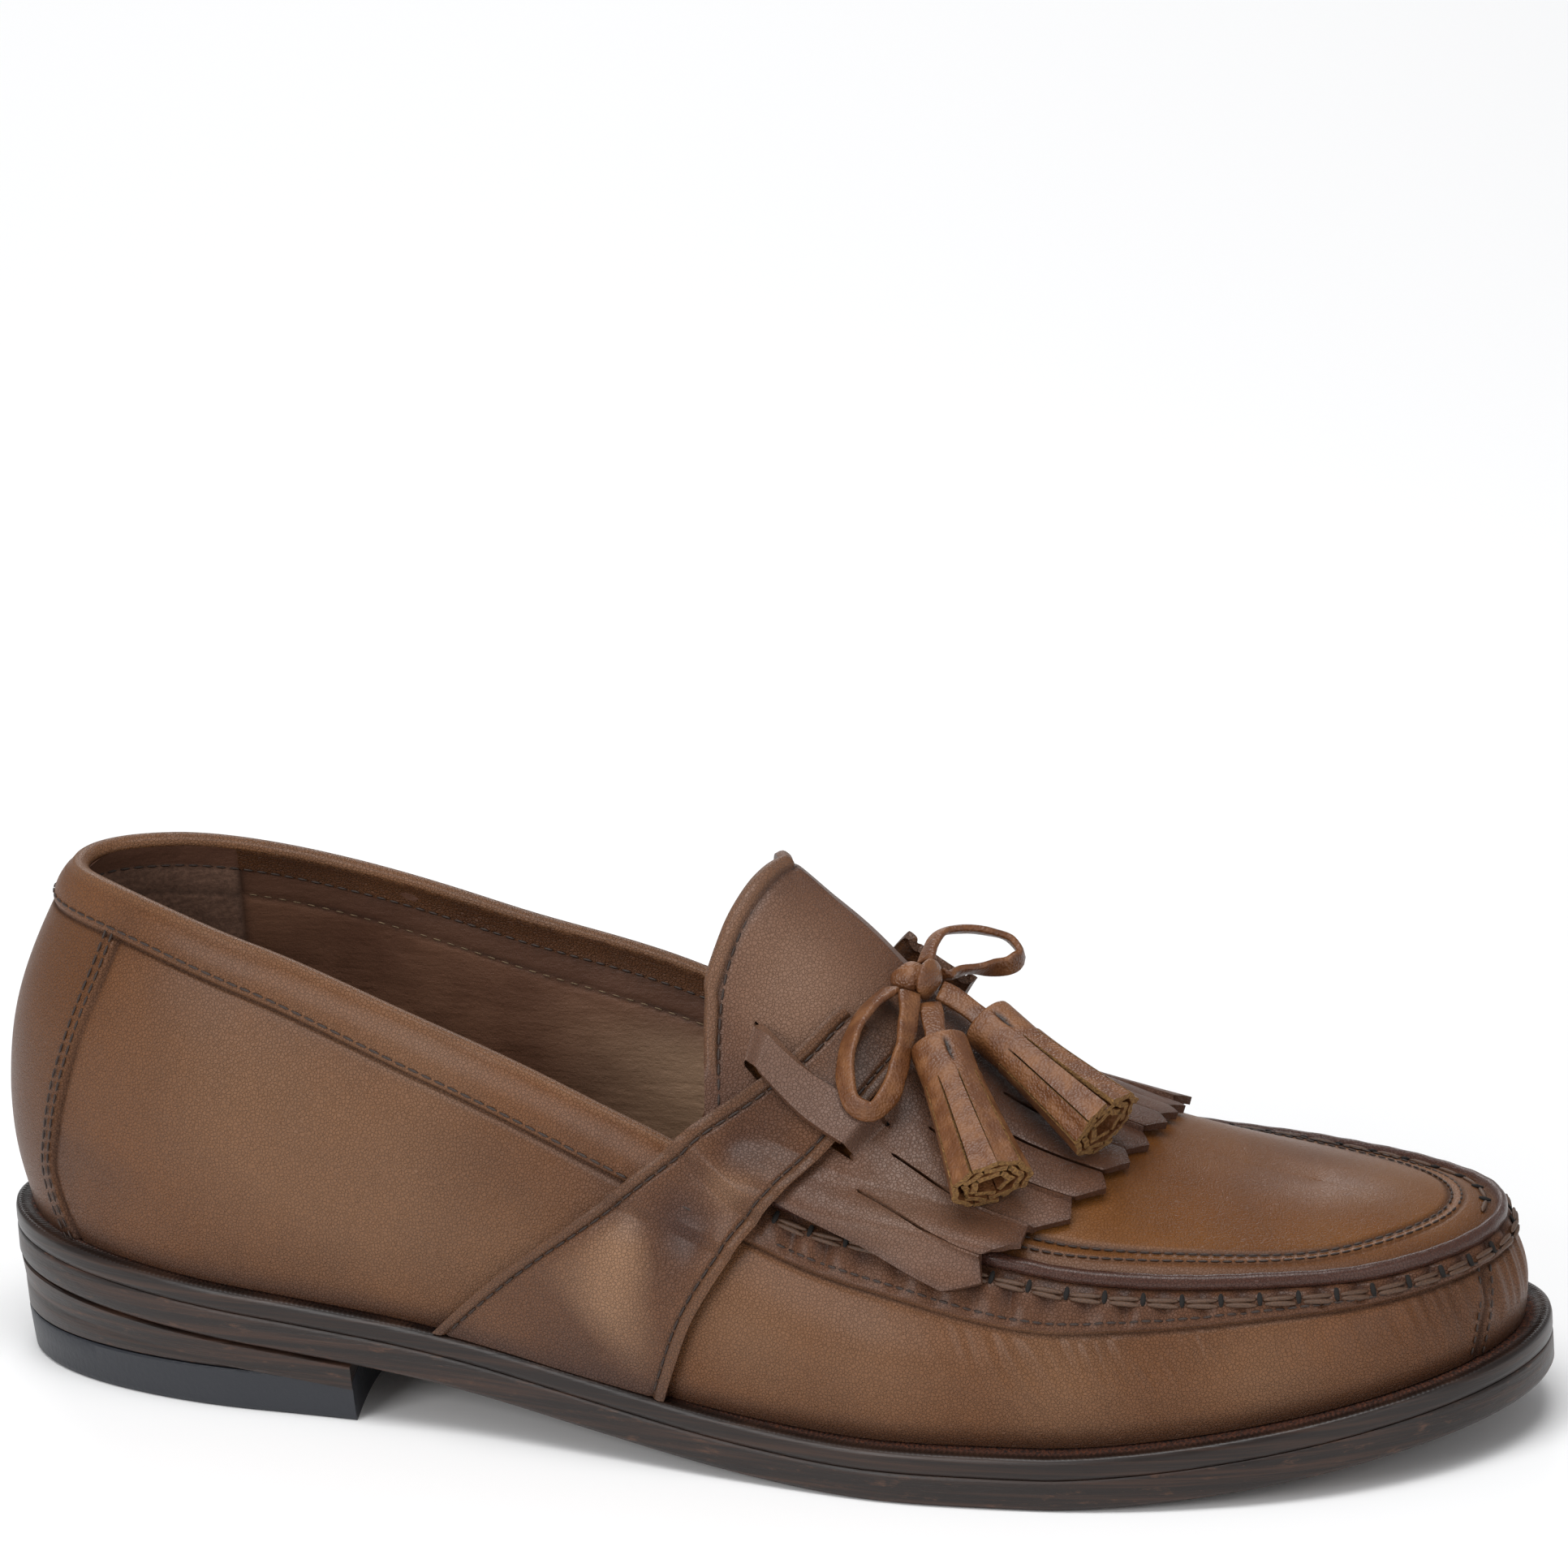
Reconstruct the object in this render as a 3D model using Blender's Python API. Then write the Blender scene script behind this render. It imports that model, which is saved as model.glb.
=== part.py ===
"""Kiltie tassel loafer, right shoe.

Metres, +Z up, toe towards +X, lateral side towards -Y. Every piece is worked out from one last: a
closed outline of the sole, a side wall that rises from it to the collar or the hand-sewn ridge, and a
crowned top from there to the centre line. A place on the last is (t, v). t runs round the outline,
0 at the back of the heel, -1 and 1 at the toe, negative on the lateral side. v is 0 at the welt, 1 at
the collar or ridge and 2 on the centre line.
"""
import math

import bmesh
import bpy
import numpy as np

# Driving sizes of the shoe
LENGTH = 0.3005           # outsole, heel to toe
BALL_WIDTH = 0.106        # outsole across the ball
BACK_HEIGHT = 0.066       # upper over the welt at the heel
INSTEP_HEIGHT = 0.081     # upper over the welt at the throat
TOE_SPRING = 0.0092       # outsole over the floor at the toe
SEAT_BACK = 0.0190        # outsole over the floor at the back of the heel
SEAT_BREAST = 0.0118      # outsole over the floor at the heel's breast
HEEL_LENGTH = 0.080       # heel, back to breast
BREAST_HOLLOW = 0.005     # depth of the breast's hollow
HEEL_ROUND = 0.060        # length of the round end at the heel
TOE_ROUND = 0.089         # length of the round end at the toe
TOE_SWING = 0.006         # how far the toe turns inwards
FLAT_START = 0.190        # flat spot under the ball
FLAT_END = 0.222

# Thicknesses and clearances
GAP = 0.0003              # between pieces that touch
SOLE_THICK = 0.0060
WELT_THICK = 0.0040
WELT_WIDTH = 0.0140
TOP_LIFT_THICK = 0.0082
HEEL_TAPER = 0.0016       # how far the heel draws in towards the floor
EDGE_ROUND = 0.0008
WALL = 0.0020             # leather and lining of the upper
LASTING_MARGIN = 0.0090   # turned in under the insole
INSOLE_THICK = 0.0025
THROAT_STATION = 0.500    # share of length where the vamp's rear edge starts
CROWN = 2.0               # roundness of the instep across the shoe

# Stations and rows of the meshes
REAR_STATIONS = 19
FRONT_STATIONS = 21


def smooth(xs, ys):
    """A cubic curve through the points, with no overshoot past its ends."""
    steps = [(ys[k + 1] - ys[k]) / (xs[k + 1] - xs[k]) for k in range(len(xs) - 1)]
    slopes = [steps[0]]
    for k in range(1, len(xs) - 1):
        before, after = xs[k] - xs[k - 1], xs[k + 1] - xs[k]
        slopes.append((steps[k - 1] * after + steps[k] * before) / (before + after))
    slopes.append(steps[-1])

    def value(x):
        x = min(max(x, xs[0]), xs[-1])
        k = max(0, min(len(xs) - 2, sum(1 for edge in xs[1:] if edge <= x)))
        span = xs[k + 1] - xs[k]
        u = (x - xs[k]) / span
        return ((2 * u ** 3 - 3 * u ** 2 + 1) * ys[k] + (u ** 3 - 2 * u ** 2 + u) * span * slopes[k]
                + (3 * u ** 2 - 2 * u ** 3) * ys[k + 1] + (u ** 3 - u ** 2) * span * slopes[k + 1])

    return value


def table(names, rows):
    """Curves by name: the first column is where each row stands."""
    columns = names.split()
    places = [row[0] for row in rows]
    return {name: smooth(places, [row[k] for row in rows]) for k, name in enumerate(columns) if k}


# Half widths of the outsole, as shares of BALL_WIDTH
OUTLINE = table("share lateral medial", [
    (0.000, 0.325, 0.316),
    (0.130, 0.325, 0.316),
    (0.250, 0.340, 0.302),
    (0.345, 0.364, 0.283),
    (0.445, 0.416, 0.292),
    (0.540, 0.468, 0.335),
    (0.640, 0.508, 0.410),
    (0.725, 0.510, 0.472),
    (0.820, 0.517, 0.493),
    (0.920, 0.528, 0.505),
    (1.000, 0.528, 0.519),
])

# Side wall at each station. Insets from the outsole's edge are shares of BALL_WIDTH: at the welt
# (margin), where the wall is widest (wide) and at the collar or ridge (rim). rise, the rim's height
# over the welt, and band, the width of the collar band or the puckered strip, are shares of
# BACK_HEIGHT.
SIDE = table("share margin wide_lateral wide_medial rim_lateral rim_medial"
             " rise_lateral rise_medial band", [
    (0.000, 0.042, 0.013, 0.013, 0.170, 0.170, 1.025, 1.025, 0.110),
    (0.030, 0.038, 0.015, 0.015, 0.160, 0.160, 1.032, 1.032, 0.110),
    (0.080, 0.030, 0.017, 0.017, 0.137, 0.132, 1.035, 1.035, 0.110),
    (0.200, 0.024, 0.014, 0.010, 0.108, 0.075, 0.985, 0.990, 0.125),
    (0.315, 0.024, 0.008, 0.005, 0.077, 0.028, 0.880, 0.898, 0.140),
    (0.430, 0.024, 0.008, 0.002, 0.077, 0.010, 0.778, 0.825, 0.145),
    (0.490, 0.028, 0.014, 0.005, 0.085, 0.028, 0.715, 0.760, 0.145),
    (0.535, 0.033, 0.019, 0.014, 0.104, 0.066, 0.644, 0.670, 0.130),
    (0.575, 0.038, 0.024, 0.024, 0.118, 0.104, 0.592, 0.600, 0.130),
    (0.640, 0.042, 0.028, 0.033, 0.142, 0.137, 0.551, 0.551, 0.145),
    (0.720, 0.047, 0.033, 0.038, 0.133, 0.137, 0.482, 0.482, 0.145),
    (0.800, 0.049, 0.038, 0.040, 0.125, 0.125, 0.424, 0.424, 0.110),
    (0.885, 0.049, 0.040, 0.040, 0.113, 0.113, 0.368, 0.368, 0.082),
    (0.940, 0.047, 0.040, 0.040, 0.095, 0.095, 0.330, 0.330, 0.072),
    (1.000, 0.047, 0.040, 0.040, 0.081, 0.081, 0.306, 0.306, 0.068),
])
WIDEST = 0.32             # height of the widest place, as a share of the wall's height
WALL_ROUND = 1.8          # how late the wall turns in above it

# Centre line of the instep: height over the welt, as shares of INSTEP_HEIGHT
INSTEP = table("share rise", [
    (0.500, 1.170),
    (0.540, 1.085),
    (0.560, 1.015),
    (0.595, 0.900),
    (0.625, 0.811),
    (0.675, 0.690),
    (0.747, 0.552),
    (0.822, 0.440),
    (0.905, 0.345),
    (0.977, 0.259),
])

# How far ahead of its station, as a share of LENGTH, a line across the instep meets the centre line
LEAD = table("share lead", [
    (0.440, 0.062),
    (0.500, 0.058),
    (0.575, 0.042),
    (0.660, 0.020),
    (0.740, 0.006),
    (0.820, -0.020),
    (0.920, -0.066),
    (1.000, -0.138),
])


def ease(u):
    """0 to 1 with level ends."""
    u = min(max(u, 0.0), 1.0)
    return u * u * (3 - 2 * u)


def wrap(t):
    """t brought back between -1 and 1."""
    return (t + 1.0) % 2.0 - 1.0


def station_x(t):
    return LENGTH * (1 - math.cos(math.pi * abs(t))) / 2


def station_t(share, side):
    """t of the station that stands at this share of the length."""
    return side * math.acos(1 - 2 * share) / math.pi


def axis_y(x):
    """The shoe's long axis, which swings inwards at the toe."""
    return TOE_SWING * ease((x / LENGTH - 0.62) / 0.38)


def outline(t):
    """A point on the outsole's edge."""
    t = wrap(t)
    x = station_x(t)
    side = 1 if t > 0 else -1
    width = OUTLINE["medial" if side > 0 else "lateral"](x / LENGTH) * BALL_WIDTH
    if x < HEEL_ROUND:
        width *= math.sqrt(max(0.0, 1 - (1 - x / HEEL_ROUND) ** 2))
    if x > LENGTH - TOE_ROUND:
        width *= math.sqrt(max(0.0, 1 - (1 - (LENGTH - x) / TOE_ROUND) ** 2))
    return np.array([x, axis_y(x) + side * width])


def inward(t):
    """Unit direction from the edge into the shoe, fanned round the heel's centre."""
    step = 0.004
    along = outline(t + step) - outline(t - step)
    normal = np.array([along[1], -along[0]]) / np.hypot(*along)
    here = outline(t)
    if here[0] < HEEL_ROUND:
        to_centre = np.array([HEEL_ROUND, 0.0]) - here
        to_centre /= np.hypot(*to_centre)
        normal = normal + (to_centre - normal) * (1 - here[0] / HEEL_ROUND)
    return normal / np.hypot(*normal)


def sole_z(x):
    """Underside of the outsole: a sloping seat, the arch, a flat spot and the toe spring."""
    if x < HEEL_LENGTH:
        return SEAT_BACK + (SEAT_BREAST - SEAT_BACK) * x / HEEL_LENGTH
    if x < FLAT_START:
        span = FLAT_START - HEEL_LENGTH
        u = (x - HEEL_LENGTH) / span
        slope = (SEAT_BREAST - SEAT_BACK) / HEEL_LENGTH * span
        return (2 * u ** 3 - 3 * u ** 2 + 1) * SEAT_BREAST + (u ** 3 - 2 * u ** 2 + u) * slope
    if x < FLAT_END:
        return 0.0
    return TOE_SPRING * ((x - FLAT_END) / (LENGTH - FLAT_END)) ** 1.4


def welt_z(x):
    """The level on the welt where the upper stands."""
    return sole_z(x) + SOLE_THICK + WELT_THICK + 2 * GAP


def at_inset(t, inset, height):
    """A point at this inset from the edge, and height over the welt's top level."""
    plan = outline(t) + inward(t) * inset
    return np.array([plan[0], plan[1], welt_z(plan[0]) + height])


def side_size(name, t):
    """A column of SIDE for this side of the shoe, in metres."""
    key = name if name in SIDE else name + ("_medial" if wrap(t) > 0 else "_lateral")
    share = station_x(wrap(t)) / LENGTH
    return SIDE[key](share) * (BACK_HEIGHT if name in ("rise", "band") else BALL_WIDTH)


def centre(t):
    """The centre-line point that faces station t."""
    share = station_x(t) / LENGTH
    x = (share + LEAD["lead"](share)) * LENGTH
    return np.array([x, axis_y(x), welt_z(x) + INSTEP["rise"](x / LENGTH) * INSTEP_HEIGHT])


def last(t, v):
    """The upper's outer surface before bands, ridge and folds."""
    if v <= 1:
        margin, wide, rim = side_size("margin", t), side_size("wide", t), side_size("rim", t)
        if v < WIDEST:
            inset = wide + (margin - wide) * (1 - v / WIDEST) ** 2
        else:
            inset = wide + (rim - wide) * ((v - WIDEST) / (1 - WIDEST)) ** WALL_ROUND
        plan = outline(t) + inward(t) * inset
        foot = outline(t) + inward(t) * margin
        return np.array([plan[0], plan[1], welt_z(foot[0]) + v * side_size("rise", t)])
    rim, top, u = last(t, 1.0), centre(wrap(t)), v - 1.0
    return np.array([rim[0] + (top[0] - rim[0]) * u, rim[1] + (top[1] - rim[1]) * u,
                     rim[2] + (top[2] - rim[2]) * (1 - (1 - u) ** CROWN)])


def last_normal(t, v):
    """Unit normal of the last, pointing out of the shoe."""
    step = 0.004
    low, high = (v - 0.01, v + 0.01)
    if v <= 1:
        high = min(high, 1.0)
    else:
        low, high = max(low, 1.0001), min(high, 2.0)
    across = last(t, high) - last(t, low)
    if v > 1.97:
        across = np.array([0.0, -np.sign(t) if t else 1.0, 0.0]) * 0.001
        ahead, behind = centre(min(abs(t) + step, 1.0)), centre(abs(t) - step)
        along = (ahead - behind) * (np.sign(t) if t else 1.0)
    else:
        along = last(t + step, v) - last(t - step, v)
    normal = np.cross(across, along)
    return normal / np.linalg.norm(normal)


# Steps in the wall
COLLAR_STEP = 0.0008      # folded collar band, proud of the quarters
STRIP_STEP = 0.0006       # puckered strip under the ridge
BEAD_HEIGHT = 0.0012      # hand-sewn ridge
RIDGE_ROOM = 0.0009       # how much further overlays bridge it
RIM_ROLL = 0.0008         # rolled top of the collar
RIDGE_START, RIDGE_FULL = 0.52, 0.56   # where the collar turns into the ridge, under the strap

# Overlays, counted outwards from the last
LAYER_GAP = 0.0004
TONGUE_THICK = 0.0015
STRAP_THICK = 0.0016
EDGE_ROLL = 0.0005        # turned edge at the tongue's top
CURL = 0.0045             # how far the medial tab curls up at its end
SLIT = 0.0007             # width of a slit in the fringe
KEEPER_SLIT = 0.0010
STRIPS = 13               # strips of the fringe
STRIP_POINT = 0.0028      # how far a strip's point stands out

# Edges of the saddle strap: share of length at its rear and front edge, from the welt to the tab
STRAP = table("v rear front", [
    (0.00, 0.325, 0.487),
    (0.20, 0.361, 0.500),
    (0.36, 0.390, 0.510),
    (0.65, 0.441, 0.531),
    (0.87, 0.473, 0.548),
    (1.04, 0.495, 0.564),
    (1.20, 0.517, 0.579),
    (1.36, 0.533, 0.588),
    (1.62, 0.544, 0.597),
])
STRAP_FOOT = 0.02
TAB_END = 1.62

# The tongue and fringe across the shoe: q is 0 on the centre line and 1 at the side edge. The columns
# give the share of length at the tongue's rear edge, where the slits start and at the strips' points.
TONGUE = table("q rear slit tip", [
    (0.00, 0.4647, 0.670, 0.763),
    (0.15, 0.4655, 0.667, 0.762),
    (0.31, 0.4675, 0.655, 0.758),
    (0.46, 0.470, 0.638, 0.752),
    (0.62, 0.475, 0.621, 0.737),
    (0.77, 0.484, 0.607, 0.716),
    (0.92, 0.497, 0.597, 0.696),
    (1.00, 0.504, 0.594, 0.684),
])

# v of the tongue's and fringe's side edge
TONGUE_EDGE = table("share v", [
    (0.460, 1.100),
    (0.503, 1.080),
    (0.530, 1.030),
    (0.559, 0.980),
    (0.583, 0.956),
    (0.611, 0.916),
    (0.648, 0.842),
    (0.680, 0.790),
    (0.720, 0.760),
])
KEEPER = (0.615, 0.769)            # q of the two slits beside each keeper band
KEEPER_ROWS = (0.16, 0.26, 0.84, 0.94)   # rows where its slits start, it has risen, sinks and ends


# Mesh tools


def station_list():
    """t of every station from the heel to the toe, on the medial side."""
    throat = station_t(THROAT_STATION, 1)
    rear = [throat * k / REAR_STATIONS for k in range(REAR_STATIONS)]
    front = [throat + (1 - throat) * k / FRONT_STATIONS for k in range(FRONT_STATIONS + 1)]
    return rear + front


STATIONS = station_list()
HALF = len(STATIONS) - 1
LOOP = STATIONS + [-t for t in reversed(STATIONS[1:-1])]


def material(name, colour, roughness):
    made = bpy.data.materials.new(name)
    made.use_nodes = True
    shader = made.node_tree.nodes["Principled BSDF"]
    shader.inputs["Base Color"].default_value = (*colour, 1.0)
    shader.inputs["Roughness"].default_value = roughness
    shader.inputs["Metallic"].default_value = 0.0
    return made


def add(name, points, faces, finish):
    """An object from points and faces, triangulated, facing out, its doubles merged."""
    mesh = bpy.data.meshes.new(name)
    mesh.from_pydata([tuple(float(c) for c in p - ORIGIN) for p in points], [], faces)
    work = bmesh.new()
    work.from_mesh(mesh)
    bmesh.ops.remove_doubles(work, verts=work.verts, dist=0.00002)
    bmesh.ops.triangulate(work, faces=work.faces)
    bmesh.ops.recalc_face_normals(work, faces=work.faces)
    work.to_mesh(mesh)
    work.free()
    mesh.shade_smooth()
    mesh.set_sharp_from_angle(angle=math.radians(40))
    mesh.materials.append(finish)
    made = bpy.data.objects.new(name, mesh)
    bpy.context.scene.collection.objects.link(made)
    return made


def bridge(low, high, count):
    """Quads between two closed rings whose first points have these indices."""
    return [(low + k, low + (k + 1) % count, high + (k + 1) % count, high + k) for k in range(count)]


def across(first):
    """A cap over a ring of LOOP: strips from the medial to the lateral side."""
    count = len(LOOP)
    faces = []
    for k in range(HALF):
        quad = [first + k, first + k + 1, first + (count - k - 1) % count, first + (count - k) % count]
        faces.append(tuple(dict.fromkeys(quad)))
    return faces


def plate(name, rows, finish, ring=False):
    """Rings of (inset, height) round the last, closed by caps or, as a ring, into a loop."""
    count = len(LOOP)
    points, faces = [], []
    for inset, level in rows:
        for t in LOOP:
            plan = outline(t) + inward(t) * inset(t)
            points.append(np.array([plan[0], plan[1], level(plan[0])]))
    for k in range(len(rows) - (0 if ring else 1)):
        faces += bridge(k * count, (k + 1) % len(rows) * count, count)
    if not ring:
        faces += across(0) + across((len(rows) - 1) * count)
    return add(name, points, faces, finish)


def slab(name, places, faces, low, high, finish):
    """A sheet on the last: each place has a lower and an upper point, walled at its edges."""
    count = len(places)
    points = [low(*place) for place in places] + [high(*place) for place in places]
    edges = {}
    for face in faces:
        for a, b in zip(face, face[1:] + face[:1]):
            edges[(a, b)] = edges.get((a, b), 0) + 1
    walls = [(a, b, b + count, a + count) for a, b in edges if (b, a) not in edges]
    return add(name, points, faces + [tuple(k + count for k in face) for face in faces] + walls, finish)


def skin(t, v, lift):
    """A point this far outside the last, with the ridge's corner rounded."""
    normal = sum(last_normal(t, min(max(v + d, 0.0), 2.0)) for d in (-0.06, -0.02, 0.02, 0.06))
    return last(t, v) + normal / np.linalg.norm(normal) * lift


def band_v(t):
    """v at the lower edge of the collar band or the puckered strip."""
    return 1 - side_size("band", t) / side_size("rise", t)


def ridge_share(t):
    """0 where the wall ends in a collar, 1 where it ends in the hand-sewn ridge."""
    return ease((station_x(wrap(t)) / LENGTH - RIDGE_START) / (RIDGE_FULL - RIDGE_START))


def cover(t, v):
    """How far the upper's steps stand out of the last near this place."""
    if v > 1.12:
        return 0.0
    ridge = ridge_share(t)
    step = COLLAR_STEP + (STRIP_STEP - COLLAR_STEP) * ridge
    stepped = step * ease((v - band_v(t) + 0.10) / 0.06) * ease((1.12 - v) / 0.08)
    return stepped + (BEAD_HEIGHT + RIDGE_ROOM) * ridge * math.exp(-((v - 1) / 0.08) ** 2)


def tongue_edge(share):
    return TONGUE_EDGE["v"](share)


# Upper: one hollow wall from the lasting margin to the collar and, in front, over the ridge to the
# centre line
SIDE_ROWS = (0.0, 0.14, 0.32, 0.50, 0.68, 0.86, 1.0)   # shares of the height up to the band
TOP_ROWS = (0.03, 0.07, 0.30, 0.55, 0.78, 1.0)         # past the ridge
LINING_ROWS = (0.0, 0.12, 0.34, 0.60, 0.82, 1.0)


def upper_outer(t):
    """The outer points of the side wall at one station, welt to rim."""
    band, ridge = band_v(t), ridge_share(t)
    step = COLLAR_STEP + (STRIP_STEP - COLLAR_STEP) * ridge
    rows = [(share * band, 0.0) for share in SIDE_ROWS]
    rows += [(band + 0.02, step), ((1 + band) / 2, step), (0.97, step)]
    points = [skin(t, v, lift) for v, lift in rows]
    points[0] = last(t, 0)
    return points + [skin(t, 1.0, 0.5 * step + BEAD_HEIGHT * ridge)]


def upper_lining(t):
    return [last(t, v) - last_normal(t, v) * WALL for v in LINING_ROWS]


def over_top(t, inner):
    """Points past the ridge, up to the centre line, outside or on the lining."""
    points = []
    for k, u in enumerate(TOP_ROWS):
        ridge_side = (0.5 * STRIP_STEP + 0.6 * BEAD_HEIGHT) * ridge_share(t) if k == 0 else 0.0
        lift = -WALL if inner else ridge_side
        points.append(last(t, 1 + u) + last_normal(t, 1 + u) * lift)
    return points


def build_upper(finish):
    margin_in = [at_inset(t, side_size("margin", t) + LASTING_MARGIN, 0) for t in LOOP]
    points, rows = [], {}

    def row(name, made):
        rows[name] = [len(points) + k for k in range(len(made))]
        points.extend(made)

    row("margin_low", margin_in)
    outer = [upper_outer(t) for t in LOOP]
    lining = [upper_lining(t) for t in LOOP]
    for k in range(len(outer[0])):
        row(("outer", k), [column[k] for column in outer])
    for k in range(len(lining[0])):
        level = [column[k] for column in lining]
        if k == 0:
            level = [at_inset(t, side_size("margin", t) + WALL, WALL) for t in LOOP]
        row(("lining", k), level)
    row("margin_high", [p + np.array([0, 0, WALL]) for p in margin_in])
    count = len(LOOP)
    order = ["margin_low"] + [("outer", k) for k in range(len(outer[0]))]
    inner_order = [("lining", k) for k in reversed(range(len(lining[0])))] + ["margin_high"]
    faces = []
    for chain in (order, inner_order, ["margin_high", "margin_low"]):
        for a, b in zip(chain, chain[1:]):
            for k in range(count):
                faces.append((rows[a][k], rows[a][(k + 1) % count], rows[b][(k + 1) % count], rows[b][k]))

    throat = REAR_STATIONS
    front = list(range(throat, count - throat + 1))
    rim_out, rim_in = rows[("outer", len(outer[0]) - 1)], rows[("lining", len(lining[0]) - 1)]
    crest = {}
    for k in list(range(throat, -1, -1)) + list(range(count - 1, count - throat - 1, -1)):
        t = LOOP[k]
        middle = (points[rim_out[k]] + points[rim_in[k]]) / 2
        crest[k] = len(points)
        points.append(middle + np.array([0, 0, RIM_ROLL * (1 - ease((k == throat) + (k == count - throat)))]))
    for k in [k for k in range(count) if not throat <= k < count - throat]:
        n = (k + 1) % count
        faces.append((rim_out[k], rim_out[n], crest[n], crest[k]))
        faces.append((crest[k], crest[n], rim_in[n], rim_in[k]))

    tops = {}
    for inner in (False, True):
        for k in front:
            made = over_top(LOOP[k], inner)
            if LOOP[k] < 0 and k != HALF:
                made[-1] = points[tops[(inner, count - k)][-1]]
            tops[(inner, k)] = list(range(len(points), len(points) + len(made)))
            points.extend(made)
    for inner, rim in ((False, rim_out), (True, rim_in)):
        for k in front[:-1]:
            n = k + 1
            left, right = [rim[k]] + tops[(inner, k)], [rim[n]] + tops[(inner, n)]
            for a in range(len(left) - 1):
                faces.append((left[a], right[a], right[a + 1], left[a + 1]))
    for k in (throat, count - throat):
        left, right = [rim_out[k]] + tops[(False, k)], [rim_in[k]] + tops[(True, k)]
        for a in range(len(left) - 1):
            faces.append((left[a], left[a + 1], right[a + 1], right[a]))
        faces.append((rim_out[k], right[0], crest[k]))
    return add("upper", points, faces, finish)


# Outsole, welt, heel and insole
def build_bottom(finishes):
    def fixed(inset):
        return lambda t: inset

    top = SOLE_THICK
    plate("outsole", [
        (fixed(EDGE_ROUND), sole_z),
        (fixed(0.0), lambda x: sole_z(x) + EDGE_ROUND),
        (fixed(0.0), lambda x: sole_z(x) + top - EDGE_ROUND / 2),
        (fixed(EDGE_ROUND / 2), lambda x: sole_z(x) + top),
    ], finishes["sole"])
    low, high = SOLE_THICK + GAP, SOLE_THICK + GAP + WELT_THICK
    plate("welt", [
        (fixed(EDGE_ROUND / 2), lambda x: sole_z(x) + low),
        (fixed(0.0), lambda x: sole_z(x) + low + EDGE_ROUND / 2),
        (fixed(0.0), lambda x: sole_z(x) + high - EDGE_ROUND),
        (fixed(EDGE_ROUND), lambda x: sole_z(x) + high),
        (fixed(WELT_WIDTH), lambda x: sole_z(x) + high),
        (fixed(WELT_WIDTH), lambda x: sole_z(x) + low),
    ], finishes["sole"], ring=True)

    def inside(t):
        return side_size("margin", t) + WALL + 2 * GAP

    seat = WALL + GAP
    plate("insole", [
        (inside, lambda x: welt_z(x) + seat),
        (inside, lambda x: welt_z(x) + seat + INSOLE_THICK - EDGE_ROUND),
        (lambda t: inside(t) + EDGE_ROUND, lambda x: welt_z(x) + seat + INSOLE_THICK),
    ], finishes["sock"])


def heel_block(name, rows, finish):
    """Rings of (inset, height) round the heel, closed by a hollow breast."""
    breast = station_t(HEEL_LENGTH / LENGTH, 1)
    side = [t for t in STATIONS if t < breast - 0.01] + [breast]
    ring = [-t for t in reversed(side[1:])] + side
    hollow = [k / 6 for k in range(1, 6)]
    count = len(ring) + len(hollow)
    points, faces = [], []
    for inset, level in rows:
        plans = [outline(t) + inward(t) * inset for t in ring]
        plans[0][0] = plans[-1][0] = HEEL_LENGTH
        for u in hollow:
            edge = plans[len(ring) - 1] * (1 - u) + plans[0] * u
            plans.append(edge - np.array([BREAST_HOLLOW * math.sin(math.pi * u), 0.0]))
        points += [np.array([p[0], p[1], level(p[0])]) for p in plans]
    for k in range(len(rows) - 1):
        faces += bridge(k * count, (k + 1) * count, count)
    faces.append(tuple(range(count)))
    faces.append(tuple(range((len(rows) - 1) * count, len(rows) * count)))
    return add(name, points, faces, finish)


def build_heel(finishes):
    heel_block("top_lift", [
        (HEEL_TAPER + EDGE_ROUND / 2, lambda x: 0.0),
        (HEEL_TAPER, lambda x: EDGE_ROUND / 2),
        (HEEL_TAPER * 0.6, lambda x: TOP_LIFT_THICK),
    ], finishes["rubber"])
    heel_block("heel_lift", [
        (HEEL_TAPER * 0.6, lambda x: TOP_LIFT_THICK + GAP),
        (HEEL_TAPER * 0.2, lambda x: sole_z(x) - GAP),
    ], finishes["sole"])


# Saddle straps, from the welt over the tongue's edge to the tab under the thong
STRAP_ROWS = (0.10, 0.22, 0.36, 0.50, 0.64, 0.76, 0.86, 0.92, 0.96, 1.0, 1.04, 1.09, 1.15, 1.22,
              1.29, 1.36, 1.44, 1.53)
STRAP_COLUMNS = 6


def strap_lift(t, v, curl):
    """Underside of the strap over the last."""
    share = station_x(t) / LENGTH
    on_tongue = ease((v - tongue_edge(share) + 0.13) / 0.08)
    lift = GAP + cover(t, v) + (TONGUE_THICK + LAYER_GAP) * on_tongue
    return lift + curl * ease((v - 1.44) / (TAB_END - 1.44)) ** 1.5


def build_strap(name, side, curl, finish):
    rows = (STRAP_FOOT,) + STRAP_ROWS + (TAB_END,)
    places = []
    for v in rows:
        rear, front = STRAP["rear"](v), STRAP["front"](v)
        for k in range(STRAP_COLUMNS + 1):
            places.append((station_t(rear + (front - rear) * k / STRAP_COLUMNS, side), v))
    wide = STRAP_COLUMNS + 1
    faces = [(a, a + 1, a + wide + 1, a + wide)
             for r in range(len(rows) - 1) for a in range(r * wide, (r + 1) * wide - 1)]
    return slab(name, places, faces,
                lambda t, v: skin(t, v, strap_lift(t, v, curl)),
                lambda t, v: skin(t, v, strap_lift(t, v, curl) + STRAP_THICK), finish)


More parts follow.
